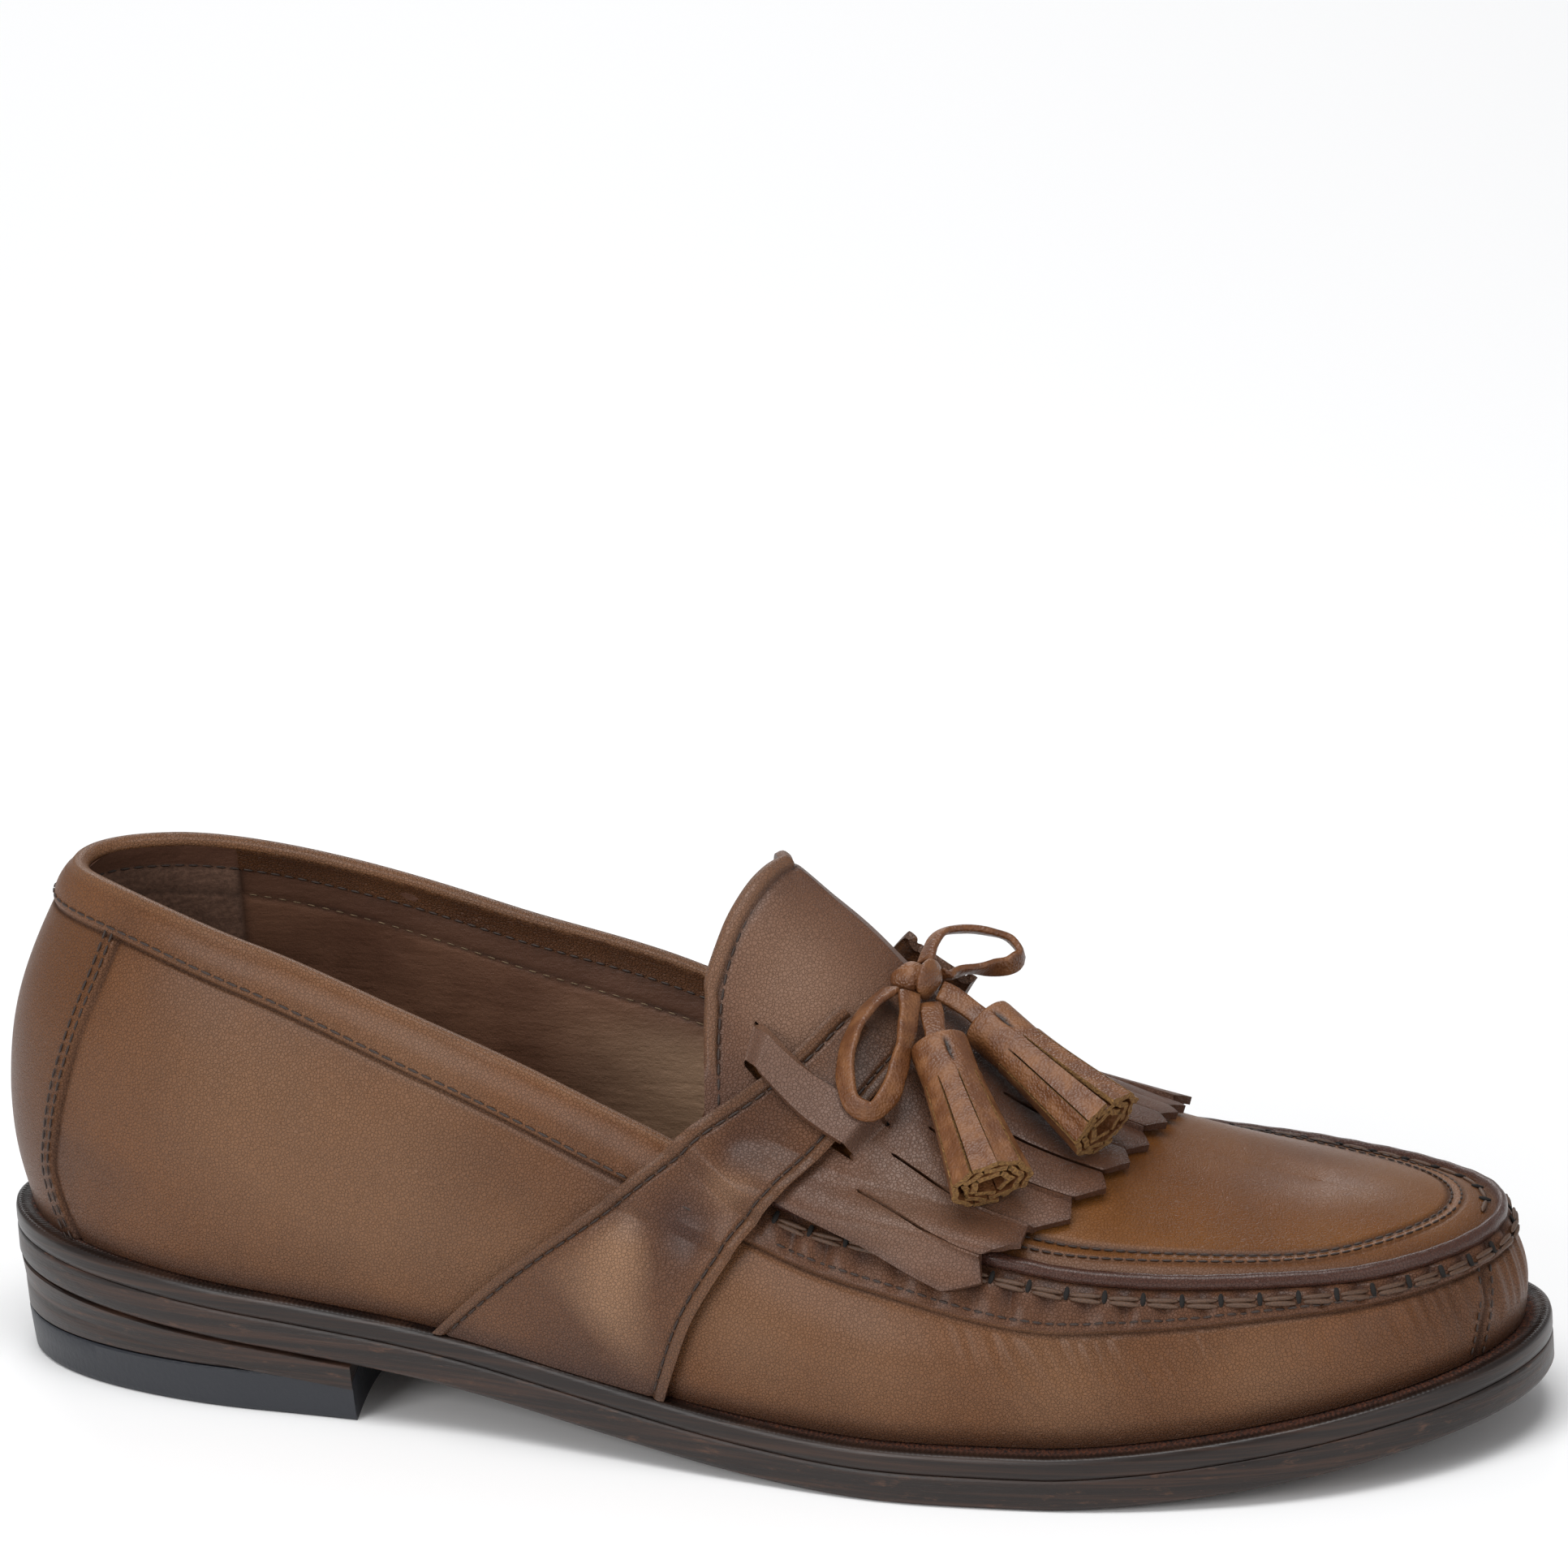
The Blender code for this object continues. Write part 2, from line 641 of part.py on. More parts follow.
# Tongue and fringe: rows from the tongue's rear edge (0) to the slits' start (1) and the points (2)
TONGUE_ROWS = (0.0, 0.03, 0.08, 0.16, 0.21, 0.26, 0.34, 0.44, 0.54, 0.64, 0.74, 0.84, 0.89, 0.94, 1.0,
               1.33, 1.67, 2.0)


def tongue_share(row, q, point):
    """Share of length at this row and q; point is 1 at a strip's point and 0 at its corners."""
    q = abs(q)
    rear, slit, tip = TONGUE["rear"](q), TONGUE["slit"](q), TONGUE["tip"](q)
    if row <= 1:
        return rear + (slit - rear) * row
    return slit + (tip - (1 - point) * STRIP_POINT / LENGTH - slit) * (row - 1)


def keeper_lift(row, q):
    """How far the keeper band stands over the rest of the tongue."""
    if not KEEPER[0] - 0.02 <= abs(q) <= KEEPER[1] + 0.02:
        return 0.0
    start, risen, sinks, end = KEEPER_ROWS
    rise = ease((row - start) / (risen - start)) * ease((end - row) / (end - sinks))
    return (STRAP_THICK + LAYER_GAP + TONGUE_THICK + LAYER_GAP) * rise


def build_tongue(finish):
    columns = [k / STRIPS for k in range(-STRIPS, STRIPS + 1)]
    rows = TONGUE_ROWS
    keys, places = {}, []

    def cut(row, column):
        """The kind of slit at this place, if any."""
        q = columns[column]
        if abs(column - STRIPS) % 2 == 1 and 0 < column < 2 * STRIPS and row > 1:
            return "fringe"
        beside = min(abs(abs(q) - KEEPER[0]), abs(abs(q) - KEEPER[1])) < 0.02
        if beside and KEEPER_ROWS[0] < row < KEEPER_ROWS[3]:
            return "keeper"
        return None

    def corner(r, c, hand):
        """Index of the point at row r and column c, on this hand of any slit there."""
        kind = cut(rows[r], c)
        key = (r, c, hand if kind else 0)
        if key not in keys:
            q = columns[c]
            strip_edge = abs(c - STRIPS) % 2 == 1
            share = tongue_share(rows[r], q, 0 if strip_edge or c in (0, 2 * STRIPS) else 1)
            side = 1 if q > 0 else -1
            t = station_t(share, side)
            edge = tongue_edge(share)
            v = 2 - abs(q) * (2 - edge)
            width = {"fringe": SLIT, "keeper": KEEPER_SLIT}.get(kind, 0.0)
            raised = 0.0
            if kind == "keeper":
                inside_hand = 1 if (abs(q) < sum(KEEPER) / 2) == (q > 0) else -1
                raised = keeper_lift(rows[r], q) if hand == inside_hand else 0.0
            elif KEEPER[0] < abs(q) < KEEPER[1]:
                raised = keeper_lift(rows[r], q)
            keys[key] = len(places)
            rolled = EDGE_ROLL * ease((KEEPER[1] + 0.1 - abs(q)) / 0.1) if rows[r] < 0.05 else 0.0
            places.append((t, v, hand * width / 2, raised, rolled))
        return keys[key]

    faces = []
    for r in range(len(rows) - 1):
        for c in range(len(columns) - 1):
            faces.append((corner(r, c, 1), corner(r + 1, c, 1), corner(r + 1, c + 1, -1), corner(r, c + 1, -1)))

    def at(t, v, shift, raised, lift):
        lift += raised
        point = skin(t, v, LAYER_GAP + cover(t, v) + lift)
        if shift:
            step = skin(t, v - 0.02, lift) - skin(t, v, lift)
            sideways = step / np.linalg.norm(step) * np.sign(t)
            point = point + sideways * shift
        return point

    return slab("tongue_kiltie", places, faces,
                lambda t, v, shift, raised, rolled: at(t, v, shift, raised, 0.0),
                lambda t, v, shift, raised, rolled: at(t, v, shift, raised, TONGUE_THICK + rolled), finish)


# The thong: the knot that ties the two tabs, a loop to each side, and an end into each tassel. The
# routes are points chosen by hand, in metres from the part's origin.
THONG_DIAMETER = 0.0028
KNOT_CENTRE = (0.0360, -0.0032, 0.0838)
KNOT_RADII = (0.0046, 0.0036, 0.0030)
LOOP_NEAR = [
    (0.0326, -0.0084, 0.0833), (0.0308, -0.0134, 0.0825), (0.0296, -0.0192, 0.0806),
    (0.0292, -0.0248, 0.0770), (0.0302, -0.0290, 0.0725), (0.0324, -0.0314, 0.0692),
    (0.0354, -0.0312, 0.0680), (0.0377, -0.0280, 0.0698), (0.0384, -0.0230, 0.0737),
    (0.0380, -0.0170, 0.0778), (0.0371, -0.0120, 0.0809), (0.0361, -0.0087, 0.0829),
]
LOOP_FAR = [
    (0.0361, 0.0006, 0.0854), (0.0360, 0.0040, 0.0871), (0.0366, 0.0078, 0.0886),
    (0.0400, 0.0122, 0.0882), (0.0438, 0.0152, 0.0868), (0.0472, 0.0172, 0.0848),
    (0.0494, 0.0160, 0.0822), (0.0480, 0.0132, 0.0812), (0.0452, 0.0108, 0.0814),
    (0.0420, 0.0074, 0.0821), (0.0399, 0.0038, 0.0824), (0.0387, 0.0006, 0.0829),
]
END_NEAR = [
    (0.0396, -0.0076, 0.0805), (0.0407, -0.0098, 0.0793), (0.0418, -0.0122, 0.0780),
    (0.0429, -0.0143, 0.0765),
]
END_FAR = [
    (0.0399, -0.0028, 0.0816), (0.0422, -0.0025, 0.0803), (0.0448, -0.0028, 0.0788),
    (0.0482, -0.0036, 0.0768),
]
TASSEL_NEAR = ((0.0432, -0.0148, 0.0759), (0.0597, -0.0356, 0.0573))
TASSEL_FAR = ((0.0487, -0.0038, 0.0765), (0.0752, -0.0152, 0.0620))
TASSEL_STRIPS = 9
TASSEL_FLAT = 0.82        # thickness of a lying tassel over its width

# Turned form of a tassel: share of its length, radius, and depth of the gaps between its strips
TASSEL = [
    (0.00, 0.0046, 0.0),
    (0.03, 0.0052, 0.0),
    (0.30, 0.0052, 0.0),
    (0.36, 0.0050, 0.0006),
    (0.60, 0.0061, 0.0014),
    (0.96, 0.0075, 0.0022),
    (1.00, 0.0072, 0.0022),
    (0.97, 0.0040, 0.0),
]


def thong(name, route, finish):
    """A round cord through its route's points."""
    ends = [np.array(p) for p in route]
    reach = [0.0]
    for a, b in zip(ends, ends[1:]):
        reach.append(reach[-1] + float(np.linalg.norm(b - a)))
    curves = [smooth(reach, [float(p[k]) for p in ends]) for k in range(3)]
    count = max(3, round(reach[-1] / (0.9 * THONG_DIAMETER)))
    curve = bpy.data.curves.new(name, "CURVE")
    curve.dimensions = "3D"
    curve.bevel_depth = THONG_DIAMETER / 2
    curve.bevel_resolution = 2
    curve.use_fill_caps = True
    spline = curve.splines.new("POLY")
    spline.points.add(count)
    for k in range(count + 1):
        place = [along(reach[-1] * k / count) for along in curves]
        spline.points[k].co = (*place, 1.0)
    curve.materials.append(finish)
    made = bpy.data.objects.new(name, curve)
    bpy.context.scene.collection.objects.link(made)
    return made


def build_knot(finish):
    """Two turns of the thong drawn tight, as one rounded solid."""
    rows, sides = 7, 12
    points, faces = [], []
    for r in range(1, rows):
        angle = math.pi * r / rows
        wraps = 1 + 0.10 * math.cos(4 * angle)
        for k in range(sides):
            turn = 2 * math.pi * k / sides
            unit = (math.cos(angle), math.sin(angle) * math.cos(turn), math.sin(angle) * math.sin(turn))
            points.append(np.array([c + u * r_axis * wraps
                                    for c, u, r_axis in zip(KNOT_CENTRE, unit, KNOT_RADII)]) + ORIGIN)
    for r in range(rows - 2):
        faces += bridge(r * sides, (r + 1) * sides, sides)
    faces += [tuple(range(sides)), tuple(range((rows - 2) * sides, (rows - 1) * sides))]
    return add("bow_knot", points, faces, finish)


def build_tassel(name, ends, finish):
    """A cap and the strips that hang from it, fused into one solid."""
    top, bottom = (np.array(p) + ORIGIN for p in ends)
    axis = bottom - top
    length = np.linalg.norm(axis)
    axis /= length
    up = last_normal(station_t(0.66, -1), 1.6)
    up = up - axis * np.dot(up, axis)
    up /= np.linalg.norm(up)
    sideways = np.cross(axis, up)
    points, faces = [], []
    sides = 3 * TASSEL_STRIPS
    for share, radius, gap in TASSEL:
        for k in range(sides):
            turn = 2 * math.pi * k / sides
            reach = radius - (gap if k % 3 == 0 else 0.0)
            points.append(top + axis * share * length + sideways * reach * math.cos(turn)
                          + up * reach * TASSEL_FLAT * math.sin(turn))
    for r in range(len(TASSEL) - 1):
        faces += bridge(r * sides, (r + 1) * sides, sides)
    faces += [tuple(range(sides)), tuple(range((len(TASSEL) - 1) * sides, len(TASSEL) * sides))]
    return add(name, points, faces, finish)


for leftover in list(bpy.data.objects):
    bpy.data.objects.remove(leftover, do_unlink=True)

edge_points = [outline(t) for t in LOOP]
ORIGIN = np.array([
    (min(p[0] for p in edge_points) + max(p[0] for p in edge_points)) / 2,
    (min(p[1] for p in edge_points) + max(p[1] for p in edge_points)) / 2,
    0.0,
])

FINISHES = {
    "sole": material("dark_sole_leather", (0.035, 0.022, 0.018), 0.45),
    "rubber": material("heel_rubber", (0.022, 0.022, 0.026), 0.6),
    "sock": material("sock_leather", (0.13, 0.08, 0.035), 0.7),
    "upper": material("brown_calf", (0.20, 0.09, 0.04), 0.35),
    "tongue": material("dark_calf", (0.13, 0.055, 0.032), 0.35),
    "thong": material("thong_leather", (0.26, 0.10, 0.03), 0.4),
}
build_bottom(FINISHES)
build_heel(FINISHES)
build_upper(FINISHES["upper"])
build_tongue(FINISHES["tongue"])
build_strap("saddle_strap_lateral", -1, 0.0, FINISHES["upper"])
build_strap("saddle_strap_medial", 1, CURL, FINISHES["upper"])
build_knot(FINISHES["thong"])
thong("bow_loop_near", LOOP_NEAR, FINISHES["thong"])
thong("bow_loop_far", LOOP_FAR, FINISHES["thong"])
thong("bow_end_near", END_NEAR, FINISHES["thong"])
thong("bow_end_far", END_FAR, FINISHES["thong"])
build_tassel("tassel_near", TASSEL_NEAR, FINISHES["thong"])
build_tassel("tassel_far", TASSEL_FAR, FINISHES["thong"])
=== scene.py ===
"""Brown kiltie tassel loafer, right shoe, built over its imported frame."""

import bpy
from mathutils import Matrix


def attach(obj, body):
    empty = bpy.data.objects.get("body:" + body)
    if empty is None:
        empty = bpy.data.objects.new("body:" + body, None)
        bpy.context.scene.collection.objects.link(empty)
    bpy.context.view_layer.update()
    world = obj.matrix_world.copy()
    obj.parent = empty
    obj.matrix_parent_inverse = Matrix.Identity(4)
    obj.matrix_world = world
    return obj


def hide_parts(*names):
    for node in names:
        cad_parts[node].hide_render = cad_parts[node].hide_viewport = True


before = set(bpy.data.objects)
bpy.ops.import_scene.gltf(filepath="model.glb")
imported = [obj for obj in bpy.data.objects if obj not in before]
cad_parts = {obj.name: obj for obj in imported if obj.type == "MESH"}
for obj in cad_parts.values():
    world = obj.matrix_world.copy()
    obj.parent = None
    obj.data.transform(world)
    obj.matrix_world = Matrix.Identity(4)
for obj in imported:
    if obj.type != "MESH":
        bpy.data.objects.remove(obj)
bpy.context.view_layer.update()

import math

import bmesh
import bpy
import numpy as np
from mathutils import Matrix, Vector, noise

# Camera: the photograph's view from the shoe's outer side, a long lens looking a little down.
# The shoe stands low in a square frame, so the lens is aimed above it.
VIEW_AZIMUTH, VIEW_ELEVATION, VIEW_ROLL = math.radians(21.2), math.radians(20.9), math.radians(-3.96)
VIEW_DISTANCE = 2.242
LENS = 275.6
SENSOR = 36.0
AIMED_AT = Vector((0.00275, 0.0008, 0.040))
AIM_OFF = (-15.3 / 14792, 489 / 14792)     # where that point stands, right of and below the middle

backward = Vector((math.sin(VIEW_AZIMUTH) * math.cos(VIEW_ELEVATION),
                   -math.cos(VIEW_AZIMUTH) * math.cos(VIEW_ELEVATION), math.sin(VIEW_ELEVATION)))
level = Vector((math.cos(VIEW_AZIMUTH), math.sin(VIEW_AZIMUTH), 0.0))
upright = backward.cross(level)
right = level * math.cos(VIEW_ROLL) + upright * math.sin(VIEW_ROLL)
up = upright * math.cos(VIEW_ROLL) - level * math.sin(VIEW_ROLL)
eye = AIMED_AT + backward * VIEW_DISTANCE
tilt, turn = AIM_OFF[1], AIM_OFF[0]
up, backward = (up + backward * tilt).normalized(), (backward - up * tilt).normalized()
right, backward = (right - backward * turn).normalized(), (backward + right * turn).normalized()
camera_data = bpy.data.cameras.new("photo_camera")
camera_data.lens, camera_data.sensor_width = LENS, SENSOR
camera_data.clip_end = 20.0
camera = bpy.data.objects.new("photo_camera", camera_data)
camera.matrix_world = Matrix((
    (right.x, up.x, backward.x, eye.x), (right.y, up.y, backward.y, eye.y),
    (right.z, up.z, backward.z, eye.z), (0, 0, 0, 1)))
bpy.context.scene.collection.objects.link(camera)
bpy.context.scene.camera = camera


# Studio: a broad soft box overhead, a long one from the front, a weak fill from the toe, white
# surroundings and a pale floor.
class Wire:
    """A shader value that Python arithmetic works on."""

    def __init__(self, finish, socket):
        self.finish, self.socket = finish, socket

    def maths(self, operation, *others):
        return self.finish.node("ShaderNodeMath", {"operation": operation}, 0, self, *others)

    def __add__(self, other):
        return self.maths("ADD", other)

    def __sub__(self, other):
        return self.maths("SUBTRACT", other)

    def __rsub__(self, other):
        return (self * -1.0) + other

    def __mul__(self, other):
        return self.maths("MULTIPLY", other)

    __radd__, __rmul__ = __add__, __mul__

    def between(self, low, high):
        """0 below low, 1 above high and smooth between."""
        return self.finish.node("ShaderNodeMapRange", {"interpolation_type": "SMOOTHSTEP"}, 0,
                                self, low, high, 0.0, 1.0)


class Finish:
    """A material whose nodes are made in code."""

    def __init__(self, name, roughness=0.5, **sockets):
        self.material = bpy.data.materials.new(name)
        self.material.use_nodes = True
        self.tree = self.material.node_tree
        self.shader = self.tree.nodes["Principled BSDF"]
        self.put(self.shader, "Roughness", roughness)
        for socket, value in sockets.items():
            self.put(self.shader, socket.replace("_", " "), value)

    def put(self, node, socket, value):
        """Sets or links a socket by its name or number."""
        place = node.inputs[socket]
        if isinstance(value, Wire):
            self.tree.links.new(value.socket, place)
        elif isinstance(value, (tuple, list)) and len(value) == 3 and place.type == "RGBA":
            place.default_value = (*value, 1.0)
        else:
            place.default_value = value

    def node(self, kind, settings, output, *values, **named):
        """A node by its type, its settings, the output wanted and its sockets in order or by name."""
        made = self.tree.nodes.new(kind)
        for setting, value in settings.items():
            setattr(made, setting, value)
        for k, value in enumerate(values):
            self.put(made, k, value)
        for socket, value in named.items():
            self.put(made, socket.replace("_", " "), value)
        return Wire(self, made.outputs[output])

    def place(self):
        return self.node("ShaderNodeTexCoord", {}, "Object")

    def stretched(self, scale):
        return self.node("ShaderNodeMapping", {}, 0, Vector=self.place(), Scale=scale)

    def mark(self, name):
        """A value painted on the piece in code."""
        return self.node("ShaderNodeAttribute", {"attribute_name": name}, "Fac")

    def noise(self, scale, detail=2.0, roughness=0.5, where=None):
        return self.node("ShaderNodeTexNoise", {}, 0, Vector=where or self.place(),
                         Scale=scale, Detail=detail, Roughness=roughness)

    def cells(self, scale, feature="F1"):
        return self.node("ShaderNodeTexVoronoi", {"feature": feature}, "Distance",
                         Vector=self.place(), Scale=scale)

    def mix(self, share, first, second):
        made = self.tree.nodes.new("ShaderNodeMix")
        made.data_type = "RGBA"
        for socket, value in ((0, share), (6, first), (7, second)):
            self.put(made, socket, value)
        return Wire(self, made.outputs[2])

    def bump(self, height, depth):
        return self.node("ShaderNodeBump", {}, 0, Height=height, Distance=depth, Strength=1.0)

    def use(self, **sockets):
        """Feeds the shader's own sockets and gives the material."""
        for socket, value in sockets.items():
            self.put(self.shader, socket.replace("_", " "), value)
        return self.material


FLOOR_SIZE = 9.0
SOFTBOXES = [
    # name, place, aimed at, width, height, watts
    ("overhead", (0.1, -0.35, 1.5), (0.0, 0.0, 0.03), 1.1, 0.8, 15.0),
    ("front", (-0.7, -1.5, 0.75), (0.0, 0.0, 0.04), 1.0, 0.7, 13.0),
    ("toe", (1.5, -0.9, 0.6), (0.05, 0.0, 0.04), 1.2, 0.9, 5.0),
    ("behind", (-0.6, 1.3, 0.9), (0.0, 0.0, 0.05), 1.0, 0.5, 6.0),
]
SURROUNDINGS, SURROUNDINGS_STRENGTH = (0.80, 0.81, 0.83), 0.42
PAPER_WHITE = 0.97


def put_softbox(name, place, aim, width, height, watts):
    data = bpy.data.lights.new(name, "AREA")
    data.shape, data.size, data.size_y, data.energy = "RECTANGLE", width, height, watts
    lamp = bpy.data.objects.new(name, data)
    lamp.location = place
    lamp.rotation_euler = (Vector(aim) - Vector(place)).to_track_quat("-Z", "Y").to_euler()
    bpy.context.scene.collection.objects.link(lamp)


for softbox in SOFTBOXES:
    put_softbox(*softbox)
world = bpy.data.worlds.new("studio")
world.use_nodes = True
world.node_tree.nodes["Background"].inputs["Color"].default_value = (*SURROUNDINGS, 1.0)
world.node_tree.nodes["Background"].inputs["Strength"].default_value = SURROUNDINGS_STRENGTH
bpy.context.scene.world = world
bpy.context.scene.view_settings.view_transform = "Standard"

bpy.ops.object.select_all(action="DESELECT")
bpy.ops.mesh.primitive_plane_add(size=FLOOR_SIZE)
floor = bpy.context.object
floor.name = "floor"
paper = Finish("paper", 0.9)
floor.data.materials.append(paper.use(Base_Color=(PAPER_WHITE,) * 3))


# Bow: one leather thong drawn through the two tabs and tied, with a loop to each side and an end
# into each tassel. It is a strip of tan lace leather, folded and pressed flat.
THONG_WIDTH, THONG_THICK = 0.0042, 0.0015
THONG_SIDES = 24
SQUARED = 0.6              # makes an oval section squarer
KNOT_CENTRE = (0.0360, -0.0032, 0.0838)
LOOP_NEAR = [
    (0.0326, -0.0084, 0.0833), (0.0308, -0.0134, 0.0825), (0.0296, -0.0192, 0.0806),
    (0.0292, -0.0248, 0.0770), (0.0302, -0.0290, 0.0725), (0.0324, -0.0314, 0.0692),
    (0.0354, -0.0312, 0.0680), (0.0377, -0.0280, 0.0698), (0.0384, -0.0230, 0.0737),
    (0.0380, -0.0170, 0.0778), (0.0371, -0.0120, 0.0809), (0.0361, -0.0087, 0.0829),
]
LOOP_FAR = [
    (0.0361, 0.0006, 0.0854), (0.0360, 0.0040, 0.0871), (0.0366, 0.0078, 0.0886),
    (0.0400, 0.0122, 0.0882), (0.0438, 0.0152, 0.0868), (0.0472, 0.0172, 0.0848),
    (0.0494, 0.0160, 0.0822), (0.0480, 0.0132, 0.0812), (0.0452, 0.0108, 0.0814),
    (0.0420, 0.0074, 0.0821), (0.0399, 0.0038, 0.0824), (0.0387, 0.0006, 0.0829),
]
TASSEL_NEAR = ((0.0432, -0.0148, 0.0759), (0.0597, -0.0356, 0.0573))
TASSEL_FAR = ((0.0487, -0.0038, 0.0765), (0.0752, -0.0152, 0.0620))
IN_TASSEL = 0.9            # share of the tassel that the thong runs down inside
END_NEAR = [
    (0.0396, -0.0076, 0.0805), (0.0407, -0.0098, 0.0793), (0.0418, -0.0122, 0.0780),
    (0.0429, -0.0143, 0.0765),
]
END_FAR = [
    (0.0399, -0.0028, 0.0816), (0.0422, -0.0025, 0.0803), (0.0448, -0.0028, 0.0788),
    (0.0482, -0.0036, 0.0768),
]
INSTEP_UP = Vector((0.30, -0.55, 0.78)).normalized()   # away from the shoe, under the bow
WELD_WITHIN = 0.00001


def smooth(xs, ys):
    """A cubic curve through the points, for numbers or arrays."""
    xs, ys = np.array(xs, float), np.array(ys, float)
    steps, spans = np.diff(ys) / np.diff(xs), np.diff(xs)
    middle = (steps[:-1] * spans[1:] + steps[1:] * spans[:-1]) / (spans[:-1] + spans[1:])
    slopes = np.concatenate([steps[:1], middle, steps[-1:]])

    def value(x):
        x = np.clip(x, xs[0], xs[-1])
        k = np.clip(np.searchsorted(xs, x, side="right") - 1, 0, len(xs) - 2)
        span = xs[k + 1] - xs[k]
        u = (x - xs[k]) / span
        return ((2 * u ** 3 - 3 * u ** 2 + 1) * ys[k] + (u ** 3 - 2 * u ** 2 + u) * span * slopes[k]
                + (3 * u ** 2 - 2 * u ** 3) * ys[k + 1] + (u ** 3 - u ** 2) * span * slopes[k + 1])

    return value


def reach_of(points):
    """Distance along a line of points, at each of them."""
    return np.concatenate([[0], np.cumsum(np.linalg.norm(np.diff(points, axis=0), axis=1))])


def at_reach(places, reach, points):
    """Points of a line at these distances along it."""
    return np.stack([np.interp(places, reach, points[:, k]) for k in range(3)], 1)


def run_of(points, count):
    """Points evenly spaced on a smooth curve through these, and its length."""
    points = np.array(points, float)
    reach = reach_of(points)
    fine = np.stack([smooth(reach, points[:, k])(np.linspace(0, reach[-1], 400)) for k in range(3)], 1)
    reach = reach_of(fine)
    return at_reach(np.linspace(0, reach[-1], count), reach, fine), float(reach[-1])


def unit(vectors):
    return vectors / np.maximum(np.linalg.norm(vectors, axis=-1, keepdims=True), 1e-12)


def new_grid(name, columns, rows):
    """A flat grid primitive with this many faces, its places as (0..1, 0..1) and its UV map kept."""
    bpy.ops.object.select_all(action="DESELECT")
    bpy.ops.mesh.primitive_grid_add(x_subdivisions=columns, y_subdivisions=rows, size=1.0)
    piece = bpy.context.object
    piece.name = piece.data.name = name
    places = np.empty(len(piece.data.vertices) * 3)
    piece.data.vertices.foreach_get("co", places)
    places = places.reshape(-1, 3)[:, :2] + 0.5
    return piece, places[:, 0], places[:, 1]


def set_places(piece, points):
    piece.data.vertices.foreach_set("co", np.ascontiguousarray(points, dtype=np.float32).ravel())
    piece.data.update()


def choose(piece):
    """Selects this piece and nothing else."""
    bpy.ops.object.select_all(action="DESELECT")
    piece.select_set(True)
    bpy.context.view_layer.objects.active = piece


def weld(piece, outward=False):
    """Closes a shape that a grid was wrapped into, and turns its faces outwards where asked."""
    choose(piece)
    bpy.ops.object.mode_set(mode="EDIT")
    bpy.ops.mesh.select_all(action="SELECT")
    bpy.ops.mesh.remove_doubles(threshold=WELD_WITHIN)
    if outward:
        bpy.ops.mesh.normals_make_consistent(inside=False)
    bpy.ops.object.mode_set(mode="OBJECT")
    bpy.ops.object.shade_smooth()


def paint(piece, name, values):
    """A value for each point, for the material to read."""
    layer = piece.data.attributes.new(name, "FLOAT", "POINT")
    layer.data.foreach_set("value", np.ascontiguousarray(values, dtype=np.float32))


def finish_piece(piece, materials, nodes=()):
    piece.data.materials.clear()
    for material in materials:
        piece.data.materials.append(material)
    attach(piece, "root")
    if nodes:
        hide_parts(*nodes)
    return piece


def strap_of_thong(name, points, facing):
    """A flat thong along its points; facing gives the way its broad side looks at each of them."""
    count = len(points)
    along = unit(np.gradient(points, axis=0))
    broad = unit(facing - along * np.sum(facing * along, axis=1, keepdims=True))
    side = np.cross(along, broad)
    piece, turn, way = new_grid(name, THONG_SIDES, count + 3)
    ring = np.round(way * (count + 3)).astype(int)
    row = np.clip(ring - 2, 0, count - 1)
    # Two rings at each end close it: a point, then one a little narrower than the thong
    narrowed = np.array([0.0, 0.8, 1.0])[np.minimum(np.minimum(ring, count + 3 - ring), 2)]
    cos, sin = np.cos(2 * np.pi * turn), np.sin(2 * np.pi * turn)
    wide = np.sign(cos) * np.abs(cos) ** SQUARED * (THONG_WIDTH / 2)
    high = np.sign(sin) * np.abs(sin) ** SQUARED * (THONG_THICK / 2)
    uneven = 1 + 0.06 * np.sin(row * 0.9)
    set_places(piece, points[row] + side[row] * (wide * narrowed * uneven)[:, None]
               + broad[row] * (high * narrowed)[:, None])
    weld(piece, outward=True)
    return piece


def thong_finish():
    """Tan lace leather, drawn smooth, with small darker flecks."""
    made = Finish("lace_leather", 0.42, Coat_Weight=0.12, Coat_Roughness=0.35, Specular_IOR_Level=0.45)
    patchy = made.noise(260.0, 3.0).between(0.35, 0.7)
    fine = made.noise(2600.0, 2.0)
    colour = made.mix(patchy, (0.125, 0.044, 0.014), (0.205, 0.082, 0.027))
    colour = made.mix(fine.between(0.55, 0.8) * 0.35, colour, (0.07, 0.026, 0.011))
    # Painted shade: the cap's slit is coloured near black
    colour = made.mix(made.mark("slit"), colour, (0.016, 0.008, 0.005))
    return made.use(Base_Color=colour, Roughness=0.36 + patchy * 0.14,
                    Normal=made.bump(made.cells(1900.0) * 0.6 + made.noise(500.0, 3.0), 0.00025))


LACE = thong_finish()


def loop_facing(points, centre, lean):
    """A loop's broad side looks away from the loop's middle, leaning outwards."""
    return unit(points - np.array(centre)) + np.array(lean)


def tie(name, route, count, facing_of, nodes):
    """A length of the thong along its route."""
    points, length = run_of(route, count)
    piece = strap_of_thong(name, points, facing_of(points))
    finish_piece(piece, [LACE], nodes)
    return piece


tie("bow_near_loop", LOOP_NEAR, 60, lambda p: loop_facing(p, (0.0345, -0.020, 0.0765), (0.1, -0.5, 0.35)),
    ["bow_loop_near"])
tie("bow_far_loop", LOOP_FAR, 60, lambda p: loop_facing(p, (0.0425, 0.0085, 0.0845), (0.0, -0.45, 0.35)),
    ["bow_loop_far"])


